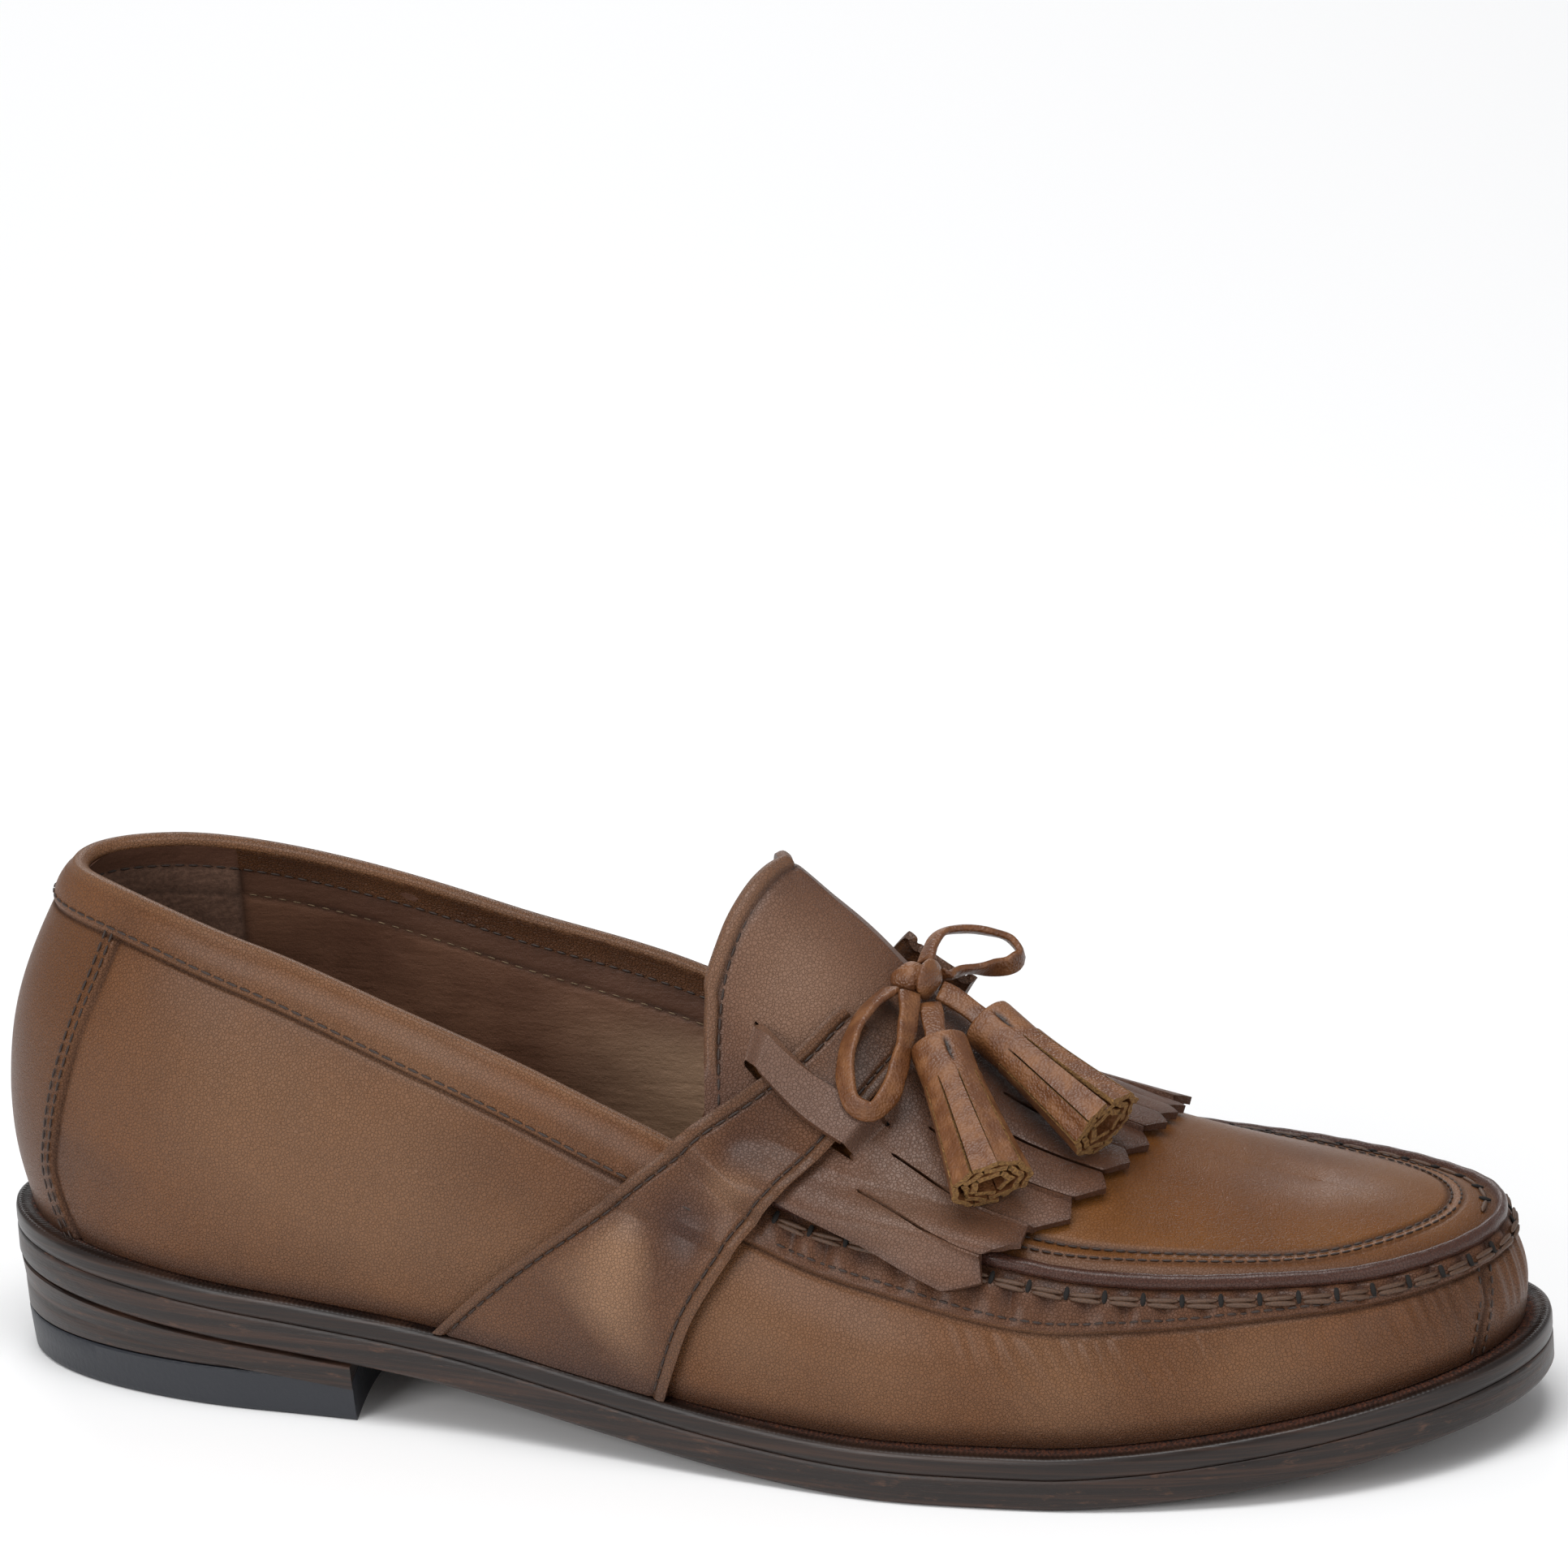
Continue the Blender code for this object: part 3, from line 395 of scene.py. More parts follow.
# Knot of the bow: two turns of the same thong drawn tight round each other, the outer one across
# the instep.
KNOT_TURNS = [
    # centre offset along the shoe, radii along, across and up, lean of the turn
    (-0.0012, (0.0040, 0.0032, 0.0028), 0.35),
    (0.0021, (0.0019, 0.0041, 0.0034), -0.15),
]


def knot_turn(name, offset, radii, lean):
    """A fat ring of thong seen as one wrap of the knot."""
    piece, turn, ring = new_grid(name, 48, 24)
    polar, angle = np.pi * ring, 2 * np.pi * turn
    fold = 1 + 0.05 * np.cos(3 * angle + 1.0) + 0.10 * np.cos(4 * polar)
    local = np.stack([np.cos(polar) * radii[0], np.sin(polar) * np.cos(angle) * radii[1] * fold,
                      np.sin(polar) * np.sin(angle) * radii[2] * fold], 1)
    turned = np.array(Matrix.Rotation(lean, 3, "Z"))
    set_places(piece, local @ turned.T + np.array(KNOT_CENTRE) + np.array([offset, 0, 0]))
    weld(piece, outward=True)
    return piece


knot = knot_turn("bow_knot_turn_1", *KNOT_TURNS[0])
finish_piece(knot, [LACE], ["bow_knot"])
outer_turn = knot_turn("bow_knot_turn_2", *KNOT_TURNS[1])
finish_piece(outer_turn, [LACE])


# Tassels: a strip of leather cut into a fringe and rolled up, its uncut edge glued down as a cap
# with a small slit where the thong's end comes out. The raw edges are yellow-tan.
TASSEL_LAYERS = [
    # radius at the cap, at the ends, strips, share of the full turn a strip fills, start turn
    (0.0050, 0.0071, 9, 0.93, 0.10),
    (0.0036, 0.0053, 7, 0.90, 0.55),
    (0.0022, 0.0034, 5, 0.88, 0.20),
]
STRIP_THICK = 0.0012
TASSEL_FLAT = 0.84         # how much lower than wide a tassel lies
CAP_SHARE, CAP_RADIUS = 0.33, 0.0053
CAP_OVERLAP = 0.04         # share of the length that the strips start inside the cap
CAP_PROFILE = [
    # share of the cap's length, share of its radius
    (0.0, 0.30), (0.0, 0.72), (0.02, 0.93), (0.05, 1.0), (0.12, 1.02), (0.85, 1.0), (0.97, 1.0), (1.0, 0.97),
    (1.0, 0.80),
]
CAP_SEAM_AT = 0.62         # of a turn, where the rolled strip ends
SLIT_AT, SLIT_DOWN = 0.27, 0.13    # the cap's slit: share of a turn, share of the tassel's length
EDGE_TAN = (0.36, 0.19, 0.055)


def edge_finish():
    made = Finish("cut_edge", 0.8)
    fibre = made.noise(1800.0, 4.0).between(0.3, 0.75)
    return made.use(Base_Color=made.mix(fibre, (0.16, 0.075, 0.022), EDGE_TAN),
                    Normal=made.bump(fibre, 0.0003))


CUT_EDGE = edge_finish()


def tassel_frame(ends):
    """The tassel's ends, its axis, and the ways up and across from it."""
    top, bottom = np.array(ends[0]), np.array(ends[1])
    axis = unit(bottom - top)
    upwards = unit(np.array(INSTEP_UP) - axis * np.dot(np.array(INSTEP_UP), axis))
    return top, bottom, axis, upwards, np.cross(axis, upwards)


def thicken(piece, thickness, offset=-1.0, rim=1):
    """Gives a sheet its thickness; its cut edges take the next material."""
    wall = piece.modifiers.new("thickness", "SOLIDIFY")
    wall.thickness, wall.offset, wall.material_offset_rim = thickness, offset, rim
    wall.use_even_offset = False
    choose(piece)
    bpy.ops.object.modifier_apply(modifier=wall.name)


def join(pieces, name):
    bpy.ops.object.select_all(action="DESELECT")
    for piece in pieces:
        piece.select_set(True)
    bpy.context.view_layer.objects.active = pieces[0]
    bpy.ops.object.join()
    made = bpy.context.object
    made.name = made.data.name = name
    return made


def make_tassel(name, ends, seed):
    """The cap, rolled and slit, and under it the rows of cut strips, each a little out of line."""
    top, bottom, axis, upwards, sideways = tassel_frame(ends)
    length = float(np.linalg.norm(bottom - top))
    parts = []
    cap, turn, way = new_grid(name + "_cap", 96, 40)
    profile_way, profile_out = np.array(CAP_PROFILE).T
    steps = np.linspace(0, 1, len(CAP_PROFILE))
    reach = np.interp(way, steps, profile_out) * CAP_RADIUS
    down = np.interp(way, steps, profile_way) * CAP_SHARE * length
    angle = 2 * np.pi * turn
    roll = 1 + 0.025 * np.cos(2 * angle + seed) - 0.05 * np.exp(-((turn - CAP_SEAM_AT) / 0.02) ** 2)
    from_slit = down / length - SLIT_DOWN
    slit = np.exp(-((turn - SLIT_AT) / (0.017 * np.clip(1 - (from_slit / 0.085) ** 2, 0.05, 1))) ** 4)
    slit = slit * (np.abs(from_slit) < 0.080)
    reach = reach * roll - 0.0007 * slit
    set_places(cap, top + axis * down[:, None] + (sideways * np.cos(angle)[:, None]
               + upwards * TASSEL_FLAT * np.sin(angle)[:, None]) * reach[:, None])
    # The slit mark also places painted shade, near black, in the opening
    paint(cap, "slit", slit)
    weld(cap)
    cap.data.materials.append(LACE)
    cap.data.materials.append(CUT_EDGE)
    parts.append(cap)
    for ring, (start, end, strips, fills, first) in enumerate(TASSEL_LAYERS):
        for k in range(strips):
            wobble = noise.noise(Vector((seed * 3.1, ring * 5.7, k * 1.9)))
            strip, across, way = new_grid(f"{name}_strip_{ring}_{k}", 6, 14)
            middle = 2 * np.pi * (first + k / strips)
            angle = middle + (across - 0.5) * 2 * np.pi * fills / strips
            angle = angle + way * wobble * 0.16
            reach = start + (end - start) * way ** 1.3
            curl = 0.0003 * np.cos((across - 0.5) * 2 * np.pi) * way
            covered = CAP_SHARE - CAP_OVERLAP
            down = covered + (1 - covered) * way * (1 + 0.035 * wobble)
            set_places(strip, top + axis * (down * length)[:, None] + (sideways * np.cos(angle)[:, None]
                       + upwards * TASSEL_FLAT * np.sin(angle)[:, None])
                       * (reach - curl + 0.0006 * wobble * way)[:, None])
            strip.data.materials.append(LACE)
            strip.data.materials.append(CUT_EDGE)
            thicken(strip, STRIP_THICK, offset=0.0)
            bpy.ops.object.shade_smooth_by_angle(angle=math.radians(50))
            parts.append(strip)
    tassel = join(parts, name)
    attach(tassel, "root")
    return tassel


for name, ends, route, seed in (("near", TASSEL_NEAR, END_NEAR, 1), ("far", TASSEL_FAR, END_FAR, 2)):
    tassel = make_tassel("tassel_" + name + "_fringe", ends, seed)
    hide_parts("tassel_" + name)
    top, bottom = Vector(ends[0]), Vector(ends[1])
    route = route + [tuple(top.lerp(bottom, share)) for share in (0.2, 0.45, 0.7, IN_TASSEL)]
    tie("bow_end_" + name + "_thong", route, 30, lambda p: np.tile(np.array(INSTEP_UP), (len(p), 1)),
        ["bow_end_" + name])


# Sole: a leather outsole with a welt stitched round it, stained dark and waxed. Both are cut to one
# outline and the edge is trimmed and burnished as one, with a fine groove where they meet.
LENGTH, BALL_WIDTH = 0.3005, 0.106
HEEL_ROUND, TOE_ROUND, TOE_SWING = 0.060, 0.089, 0.006
SEAT_BACK, SEAT_BREAST, HEEL_LENGTH = 0.0190, 0.0118, 0.080
FLAT_START, FLAT_END, TOE_SPRING = 0.190, 0.222, 0.0092
SOLE_THICK, WELT_THICK, GAP = 0.0060, 0.0040, 0.0003
MIDDLE = np.array([0.15025, -0.00080, 0.0])    # the frame's origin on the last
WHEEL_PITCH, WHEEL_DEPTH = 0.00105, 0.00035    # wheeled notches pressed into the welt


def table(names, rows):
    """Curves by name: the first column is where each row stands."""
    columns, places = names.split(), [row[0] for row in rows]
    return {name: smooth(places, [row[k] for row in rows]) for k, name in enumerate(columns) if k}


# Half widths of the outsole, as shares of BALL_WIDTH
OUTLINE = table("share lateral medial", [
    (0.000, 0.325, 0.316), (0.130, 0.325, 0.316), (0.250, 0.340, 0.302), (0.345, 0.364, 0.283),
    (0.445, 0.416, 0.292), (0.540, 0.468, 0.335), (0.640, 0.508, 0.410), (0.725, 0.510, 0.472),
    (0.820, 0.517, 0.493), (0.920, 0.528, 0.505), (1.000, 0.528, 0.519),
])


def ease(u):
    u = np.clip(u, 0.0, 1.0)
    return u * u * (3 - 2 * u)


def hump(x, middle, width):
    return np.exp(-((x - middle) / width) ** 2)


def wrap(t):
    return (np.asarray(t, float) + 1.0) % 2.0 - 1.0


def station_x(t):
    return LENGTH * (1 - np.cos(np.pi * np.abs(t))) / 2


def station_t(share, side=1):
    return side * np.arccos(1 - 2 * np.asarray(share, float)) / np.pi


def axis_y(x):
    return TOE_SWING * ease((x / LENGTH - 0.62) / 0.38)


def outline(t):
    """Points on the outsole's edge: t is 0 at the back of the heel, -1 and 1 at the toe."""
    t = wrap(t)
    x = station_x(t)
    width = np.where(t > 0, OUTLINE["medial"](x / LENGTH), OUTLINE["lateral"](x / LENGTH)) * BALL_WIDTH
    width = width * np.where(x < HEEL_ROUND, np.sqrt(np.clip(1 - (1 - x / HEEL_ROUND) ** 2, 0, 1)), 1.0)
    toe = np.sqrt(np.clip(1 - (1 - (LENGTH - x) / TOE_ROUND) ** 2, 0, 1))
    width = width * np.where(x > LENGTH - TOE_ROUND, toe, 1.0)
    return np.stack([x, axis_y(x) + np.where(t > 0, 1, -1) * width], -1)


def inward(t):
    """Unit direction from the edge into the shoe, fanned round the heel's centre."""
    along = outline(t + 0.004) - outline(t - 0.004)
    normal = unit(np.stack([along[..., 1], -along[..., 0]], -1))
    here = outline(t)
    to_centre = unit(np.array([HEEL_ROUND, 0.0]) - here)
    share = np.clip(1 - here[..., :1] / HEEL_ROUND, 0, 1)
    return unit(normal + (to_centre - normal) * share)


def sole_z(x):
    """Underside of the outsole: a sloping seat, the arch, a flat spot and the toe spring."""
    span, seat_slope = FLAT_START - HEEL_LENGTH, (SEAT_BREAST - SEAT_BACK) / HEEL_LENGTH
    u = np.clip((x - HEEL_LENGTH) / span, 0, 1)
    arch = (2 * u ** 3 - 3 * u ** 2 + 1) * SEAT_BREAST + (u ** 3 - 2 * u ** 2 + u) * seat_slope * span
    toe = TOE_SPRING * np.clip((x - FLAT_END) / (LENGTH - FLAT_END), 0, 1) ** 1.4
    return np.where(x < HEEL_LENGTH, SEAT_BACK + seat_slope * x, np.where(x < FLAT_START, arch, toe))


def sole_edge(name, profile, columns, notches=None):
    """A closed band round the outline: the profile is (inset, height over the outsole's underside)."""
    rows = len(profile)
    piece, round_way, up_way = new_grid(name, columns, rows)
    row = np.round(up_way * rows).astype(int) % rows
    t = round_way * 2 - 1
    inset, height = np.array(profile)[row].T
    if notches is not None:
        height = height - notches(t, row)
    plan = outline(t) + inward(t) * inset[:, None]
    set_places(piece, np.concatenate([plan, (sole_z(plan[:, 0]) + height)[:, None]], 1) - MIDDLE)
    weld(piece, outward=True)
    return piece


def edge_length():
    """Distance along the outsole's edge, by t."""
    t = np.linspace(-1, 1, 2001)
    reach = reach_of(outline(t))
    return lambda at: np.interp(wrap(at), t, reach)


ROUND_EDGE = edge_length()


def sole_finish():
    """Dark stained leather, waxed and brushed along the edge, with the layers' faint pale lines."""
    made = Finish("stained_sole_leather", 0.40, Coat_Weight=0.15, Coat_Roughness=0.3, Specular_IOR_Level=0.36)
    streaks = made.noise(60.0, 5.0, 0.65, made.stretched((0.25, 0.6, 14.0)))
    worn = made.noise(300.0, 5.0, 0.7, made.stretched((0.5, 0.8, 2.2)))
    colour = made.mix(streaks.between(0.42, 0.72), (0.011, 0.0060, 0.0045), (0.044, 0.020, 0.012))
    colour = made.mix(worn.between(0.56, 0.74) * 0.6, colour, (0.115, 0.050, 0.026))
    return made.use(Base_Color=colour, Roughness=0.32 + streaks * 0.22,
                    Normal=made.bump(streaks * 0.5 + worn * 0.5, 0.0004))


SOLE_LEATHER = sole_finish()
OUTSOLE_EDGE = [(0.0012, 0.0), (0.0004, 0.0003), (0.0, 0.0010), (0.0, 0.0030), (0.0, 0.0052),
                (0.0001, 0.0060), (0.0004, 0.00615), (0.0100, 0.0060), (0.0100, 0.0032), (0.0100, 0.0004)]
WELT_EDGE = [(0.0006, 0.0062), (0.0001, 0.0063), (0.0, 0.0072), (0.0, 0.0090), (0.0002, 0.0099),
             (0.0008, 0.0103), (0.0014, 0.01035), (0.0022, 0.0103), (0.0030, 0.0103), (0.0038, 0.0103),
             (0.0060, 0.0103), (0.0140, 0.0103), (0.0140, 0.0070)]
ON_SHELF = (6, 9)              # rows of WELT_EDGE that the wheel marks
TREAD_INSET, TREAD_THICK = 0.0011, 0.0012
outsole = sole_edge("outsole_edge", OUTSOLE_EDGE, 700)


def face_towards(piece, way):
    """Turns the faces of an open sheet to this side, judged by its middle one."""
    if piece.data.polygons[len(piece.data.polygons) // 2].normal.dot(Vector(way)) < 0:
        piece.data.flip_normals()


def between_sides(long_way, wide_way, inset):
    """Places between the outline's two sides, this far in from its edge, and the distance across."""
    t = 0.0005 + 0.999 * long_way
    low, high = (outline(hand) + inward(hand) * np.asarray(inset(hand))[..., None] for hand in (-t, t))
    return low + (high - low) * wide_way[:, None], np.linalg.norm(high - low, axis=1)


def close_underside():
    """The tread: a face that the edge runs into."""
    piece, long_way, wide_way = new_grid("outsole_tread", 160, 40)
    plan, _ = between_sides(long_way, wide_way, lambda t: TREAD_INSET)
    set_places(piece, np.concatenate([plan, sole_z(plan[:, 0])[:, None]], 1) - MIDDLE + [0, 0, 0.00002])
    weld(piece, outward=True)
    face_towards(piece, (0, 0, -1))
    thicken(piece, TREAD_THICK, rim=0)
    return piece


def tread_finish():
    """Leather scuffed by the ground."""
    made = Finish("tread_leather", 0.6)
    scuffs = made.noise(35.0, 6.0, 0.7)
    colour = made.mix(scuffs.between(0.4, 0.7), (0.030, 0.016, 0.010), (0.095, 0.050, 0.026))
    return made.use(Base_Color=colour, Roughness=0.5 + scuffs * 0.3, Normal=made.bump(scuffs, 0.0005))


tread = close_underside()
finish_piece(outsole, [SOLE_LEATHER], ["outsole"])
finish_piece(tread, [tread_finish()])


def wheeled(t, row):
    """The notches lie on the welt's open shelf, from just inside its edge."""
    on_shelf = (row >= ON_SHELF[0]) & (row <= ON_SHELF[1])
    return WHEEL_DEPTH * (0.5 + 0.5 * np.cos(2 * np.pi * ROUND_EDGE(t) / WHEEL_PITCH)) * on_shelf


welt = sole_edge("welt_strip", WELT_EDGE, 2400, wheeled)


def welt_finish():
    made = Finish("wheeled_welt_leather", 0.42, Coat_Weight=0.12, Coat_Roughness=0.3, Specular_IOR_Level=0.36)
    streaks = made.noise(60.0, 5.0, 0.65, made.stretched((0.25, 0.6, 14.0)))
    rough = made.noise(1500.0, 4.0, 0.7)
    colour = made.mix(streaks.between(0.42, 0.72), (0.011, 0.0060, 0.0045), (0.038, 0.018, 0.011))
    reddish = made.mix(rough.between(0.35, 0.75), (0.015, 0.007, 0.005), (0.150, 0.042, 0.016))
    groove = made.mark("groove")
    return made.use(Base_Color=made.mix(groove, colour, reddish), Roughness=0.36 + groove * 0.4,
                    Normal=made.bump(streaks * 0.3 + rough * groove, 0.0005))


def near(points, line):
    """Distance from each point to the closest point of a line."""
    best = np.full(len(points), 1e9)
    for k in range(0, len(line), 60):
        gap = np.linalg.norm(points[:, None, :] - line[None, k:k + 60], axis=2).min(axis=1)
        best = np.minimum(best, gap)
    return best


def at_foot(piece):
    """1 on the welt's shelf close to the upper, where it is left rough."""
    points = np.empty(len(piece.data.vertices) * 3)
    piece.data.vertices.foreach_get("co", points)
    points = points.reshape(-1, 3) + MIDDLE
    edge = outline(np.linspace(-1, 1, 2401))
    flat = points * [1, 1, 0]
    nearest = near(flat, np.column_stack([edge, np.zeros(len(edge))]))
    return ease((nearest - 0.0026) / 0.0010) * (points[:, 2] > sole_z(points[:, 0]) + 0.0098)


paint(welt, "groove", at_foot(welt))
finish_piece(welt, [welt_finish()], ["welt"])


# Heel: stacked leather lifts over a rubber top piece, its sides trimmed with the sole and its breast
# cut hollow. A thin pale line shows where the lifts meet.
HEEL_TAPER, BREAST_HOLLOW = 0.0016, 0.005


def heel_piece(name, rows, columns=160, hollow=24):
    """Rings of (inset, height, 1 if over the outsole's underside) round the heel and across its
    breast, capped at both ends."""
    piece, round_way, up_way = new_grid(name, columns + hollow, len(rows) + 1)
    breast = float(station_t(HEEL_LENGTH / LENGTH))
    column = np.round(round_way * (columns + hollow)).astype(int)
    ring = np.round(up_way * (len(rows) + 1)).astype(int)
    inset, height, hung = np.array(rows)[np.clip(ring - 1, 0, len(rows) - 1)].T
    t = -breast + 2 * breast * np.clip(column / columns, 0, 1)
    side = outline(t) + inward(t) * inset[:, None]
    side[:, 0] = np.minimum(side[:, 0], HEEL_LENGTH)
    u = np.clip((column - columns) / hollow, 0, 1)
    ends = [outline(np.full(len(t), s * breast)) + inward(np.full(len(t), s * breast)) * inset[:, None]
            for s in (-1, 1)]
    for end in ends:
        end[:, 0] = HEEL_LENGTH
    across = ends[1] + (ends[0] - ends[1]) * u[:, None]
    across[:, 0] -= BREAST_HOLLOW * np.sin(np.pi * u)
    plan = np.where((column > columns)[:, None], across, side)
    capped = (ring == 0) | (ring == len(rows) + 1)
    plan = np.where(capped[:, None], [HEEL_LENGTH * 0.5, 0.0], plan)
    z = height + hung * sole_z(plan[:, 0])
    set_places(piece, np.concatenate([plan, z[:, None]], 1) - MIDDLE)
    weld(piece, outward=True)
    bpy.ops.object.shade_smooth_by_angle(angle=math.radians(40))
    return piece


TOP_PIECE_ROWS = [
    (HEEL_TAPER + 0.0006, 0.0, 0), (HEEL_TAPER + 0.0001, 0.0005, 0), (HEEL_TAPER, 0.0012, 0),
    (HEEL_TAPER * 0.8, 0.0045, 0), (HEEL_TAPER * 0.62, 0.0078, 0), (HEEL_TAPER * 0.62 + 0.0003, 0.0082, 0),
]
top_piece = heel_piece("rubber_top_piece", TOP_PIECE_ROWS)


def rubber_finish():
    made = Finish("heel_rubber", 0.55)
    moulded = made.noise(900.0, 3.0)
    scuffed = made.noise(120.0, 5.0, 0.7).between(0.6, 0.8)
    colour = made.mix(scuffed * 0.5, (0.014, 0.016, 0.022), (0.045, 0.047, 0.052))
    return made.use(Base_Color=colour, Roughness=0.42 + scuffed * 0.3, Normal=made.bump(moulded, 0.0001))


finish_piece(top_piece, [rubber_finish()], ["top_lift"])
LIFTS_ROWS = [
    (HEEL_TAPER * 0.6 + 0.0003, 0.0085, 0), (HEEL_TAPER * 0.6, 0.0089, 0), (HEEL_TAPER * 0.5, -0.0052, 1),
    (HEEL_TAPER * 0.5 + 0.00012, -0.0048, 1), (HEEL_TAPER * 0.5, -0.0044, 1), (HEEL_TAPER * 0.2, -0.0006, 1),
    (HEEL_TAPER * 0.2 + 0.0004, -0.0003, 1),
]
heel_lifts = heel_piece("heel_lifts", LIFTS_ROWS)
finish_piece(heel_lifts, [SOLE_LEATHER], ["heel_lift"])


# Insole and sock: a leather board inside the upper's turned-in margin, sewn down with the welt, and
# over it a thin worn sock of natural leather, glued on and perforated.
WALL, INSOLE_THICK, SOCK_ROUND = 0.0020, 0.0025, 0.0008
PERFORATION = 420.0
SIDE = table("share margin wide_lateral wide_medial rim_lateral rim_medial rise_lateral rise_medial band", [
    (0.000, 0.042, 0.013, 0.013, 0.170, 0.170, 1.025, 1.025, 0.110),
    (0.030, 0.038, 0.015, 0.015, 0.160, 0.160, 1.032, 1.032, 0.110),
    (0.080, 0.030, 0.017, 0.017, 0.137, 0.132, 1.035, 1.035, 0.110),
    (0.200, 0.024, 0.014, 0.010, 0.108, 0.075, 0.985, 0.990, 0.125),
    (0.315, 0.024, 0.008, 0.005, 0.077, 0.028, 0.880, 0.898, 0.140),
    (0.430, 0.024, 0.008, 0.002, 0.077, 0.010, 0.778, 0.825, 0.145),
    (0.490, 0.028, 0.014, 0.005, 0.085, 0.028, 0.715, 0.760, 0.145),
    (0.535, 0.033, 0.019, 0.014, 0.104, 0.066, 0.644, 0.670, 0.130),
    (0.575, 0.038, 0.024, 0.024, 0.118, 0.104, 0.592, 0.600, 0.130),
    (0.640, 0.042, 0.028, 0.033, 0.142, 0.137, 0.551, 0.551, 0.145),
    (0.720, 0.047, 0.033, 0.038, 0.133, 0.137, 0.482, 0.482, 0.145),
    (0.800, 0.049, 0.038, 0.040, 0.125, 0.125, 0.424, 0.424, 0.110),
    (0.885, 0.049, 0.040, 0.040, 0.113, 0.113, 0.368, 0.368, 0.082),
    (0.940, 0.047, 0.040, 0.040, 0.095, 0.095, 0.330, 0.330, 0.072),
    (1.000, 0.047, 0.040, 0.040, 0.081, 0.081, 0.306, 0.306, 0.068),
])
BACK_HEIGHT = 0.066


def side_size(name, t):
    """A column of SIDE for this side of the shoe, in metres."""
    share = station_x(wrap(t)) / LENGTH
    if name in SIDE:
        size = SIDE[name](share)
    else:
        size = np.where(wrap(t) > 0, SIDE[name + "_medial"](share), SIDE[name + "_lateral"](share))
    return size * (BACK_HEIGHT if name in ("rise", "band") else BALL_WIDTH)


def welt_z(x):
    """The level on the welt where the upper stands."""
    return sole_z(x) + SOLE_THICK + WELT_THICK + 2 * GAP


def make_insole():
    piece, long_way, wide_way = new_grid("insole_and_sock", 260, 64)
    room = WALL + 2 * GAP + 0.0002
    plan, across = between_sides(long_way, wide_way, lambda t: side_size("margin", t) + room)
    edge = np.minimum(wide_way, 1 - wide_way) * across
    edge = np.minimum(edge, np.minimum(long_way, 1 - long_way) * LENGTH * 2)
    top = welt_z(plan[:, 0]) + WALL + GAP + INSOLE_THICK
    dip = 0.0012 * hump(plan[:, 0], 0.045, 0.030) * ease(edge / 0.02)
    dent = 0.0002 * np.sin(plan[:, 0] * 210 + plan[:, 1] * 90) * ease(edge / 0.02)
    set_places(piece, np.concatenate(
        [plan, (top - dip + dent - 0.0007 * (1 - ease(edge / 0.0016)))[:, None]], 1) - MIDDLE)
    weld(piece)
    face_towards(piece, (0, 0, 1))
    thicken(piece, INSOLE_THICK - SOCK_ROUND, rim=0)
    return piece


def sock_finish():
    """Natural leather, mottled olive and tan, with pressed-in perforation."""
    made = Finish("sock_leather", 0.8)
    blotch = made.noise(90.0, 5.0, 0.65).between(0.35, 0.68)
    holes = made.cells(PERFORATION).between(0.10, 0.26)
    colour = made.mix(blotch, (0.062, 0.040, 0.018), (0.150, 0.090, 0.038))
    colour = made.mix(1 - holes, colour, (0.022, 0.014, 0.008))
    return made.use(Base_Color=colour, Normal=made.bump(holes, 0.0006))


insole = make_insole()
finish_piece(insole, [sock_finish()], ["insole"])


# Quarters and vamp: calf leather lasted over the welt, with a heel strip let in at the back, a padded
# band folded over the collar, and in front a gathered strip and the raised hand-sewn ridge.
WIDEST, WALL_ROUND, CROWN = 0.32, 1.8, 2.0
INSTEP_HEIGHT = 0.081
INSTEP = table("share rise", [
    (0.500, 1.170), (0.540, 1.085), (0.560, 1.015), (0.595, 0.900), (0.625, 0.811), (0.675, 0.690),
    (0.747, 0.552), (0.822, 0.440), (0.905, 0.345), (0.977, 0.259),
])
LEAD = table("share lead", [
    (0.440, 0.062), (0.500, 0.058), (0.575, 0.042), (0.660, 0.020), (0.740, 0.006), (0.820, -0.020),
    (0.920, -0.066), (1.000, -0.138),
])
RIDGE_START, RIDGE_FULL = 0.52, 0.56
COLLAR_STEP, STRIP_STEP = 0.0008, 0.0006
COLLAR_PAD = 0.0008            # how far the padding swells the band
BEAD_RADIUS, BEAD_LIFT = 0.0015, 0.0003
RIM_UP, FOLD_ROOM = 0.0012, 0.0006     # the fold at the collar's top, and how much it is thicker
STITCH_PITCH = 0.0070          # between the ridge's hand stitches
PUCKER = 0.00080               # depth of the gathers between them
VAMP_WRINKLE = 0.00026
# Seams as (share of the length, v) from end to end
HEEL_SEAM = [(0.090, 0.906), (0.085, 0.80), (0.077, 0.67), (0.066, 0.48), (0.0575, 0.313), (0.0505, 0.177),
             (0.053, 0.09), (0.061, 0.0)]
TOE_SEAM = [(0.9935, 0.80), (0.991, 0.55), (0.988, 0.30), (0.9855, 0.02)]


def centre(t):
    """The centre-line point that faces station t."""
    share = station_x(wrap(t)) / LENGTH
    x = (share + LEAD["lead"](share)) * LENGTH
    return np.stack([x, axis_y(x), welt_z(x) + INSTEP["rise"](x / LENGTH) * INSTEP_HEIGHT], -1)


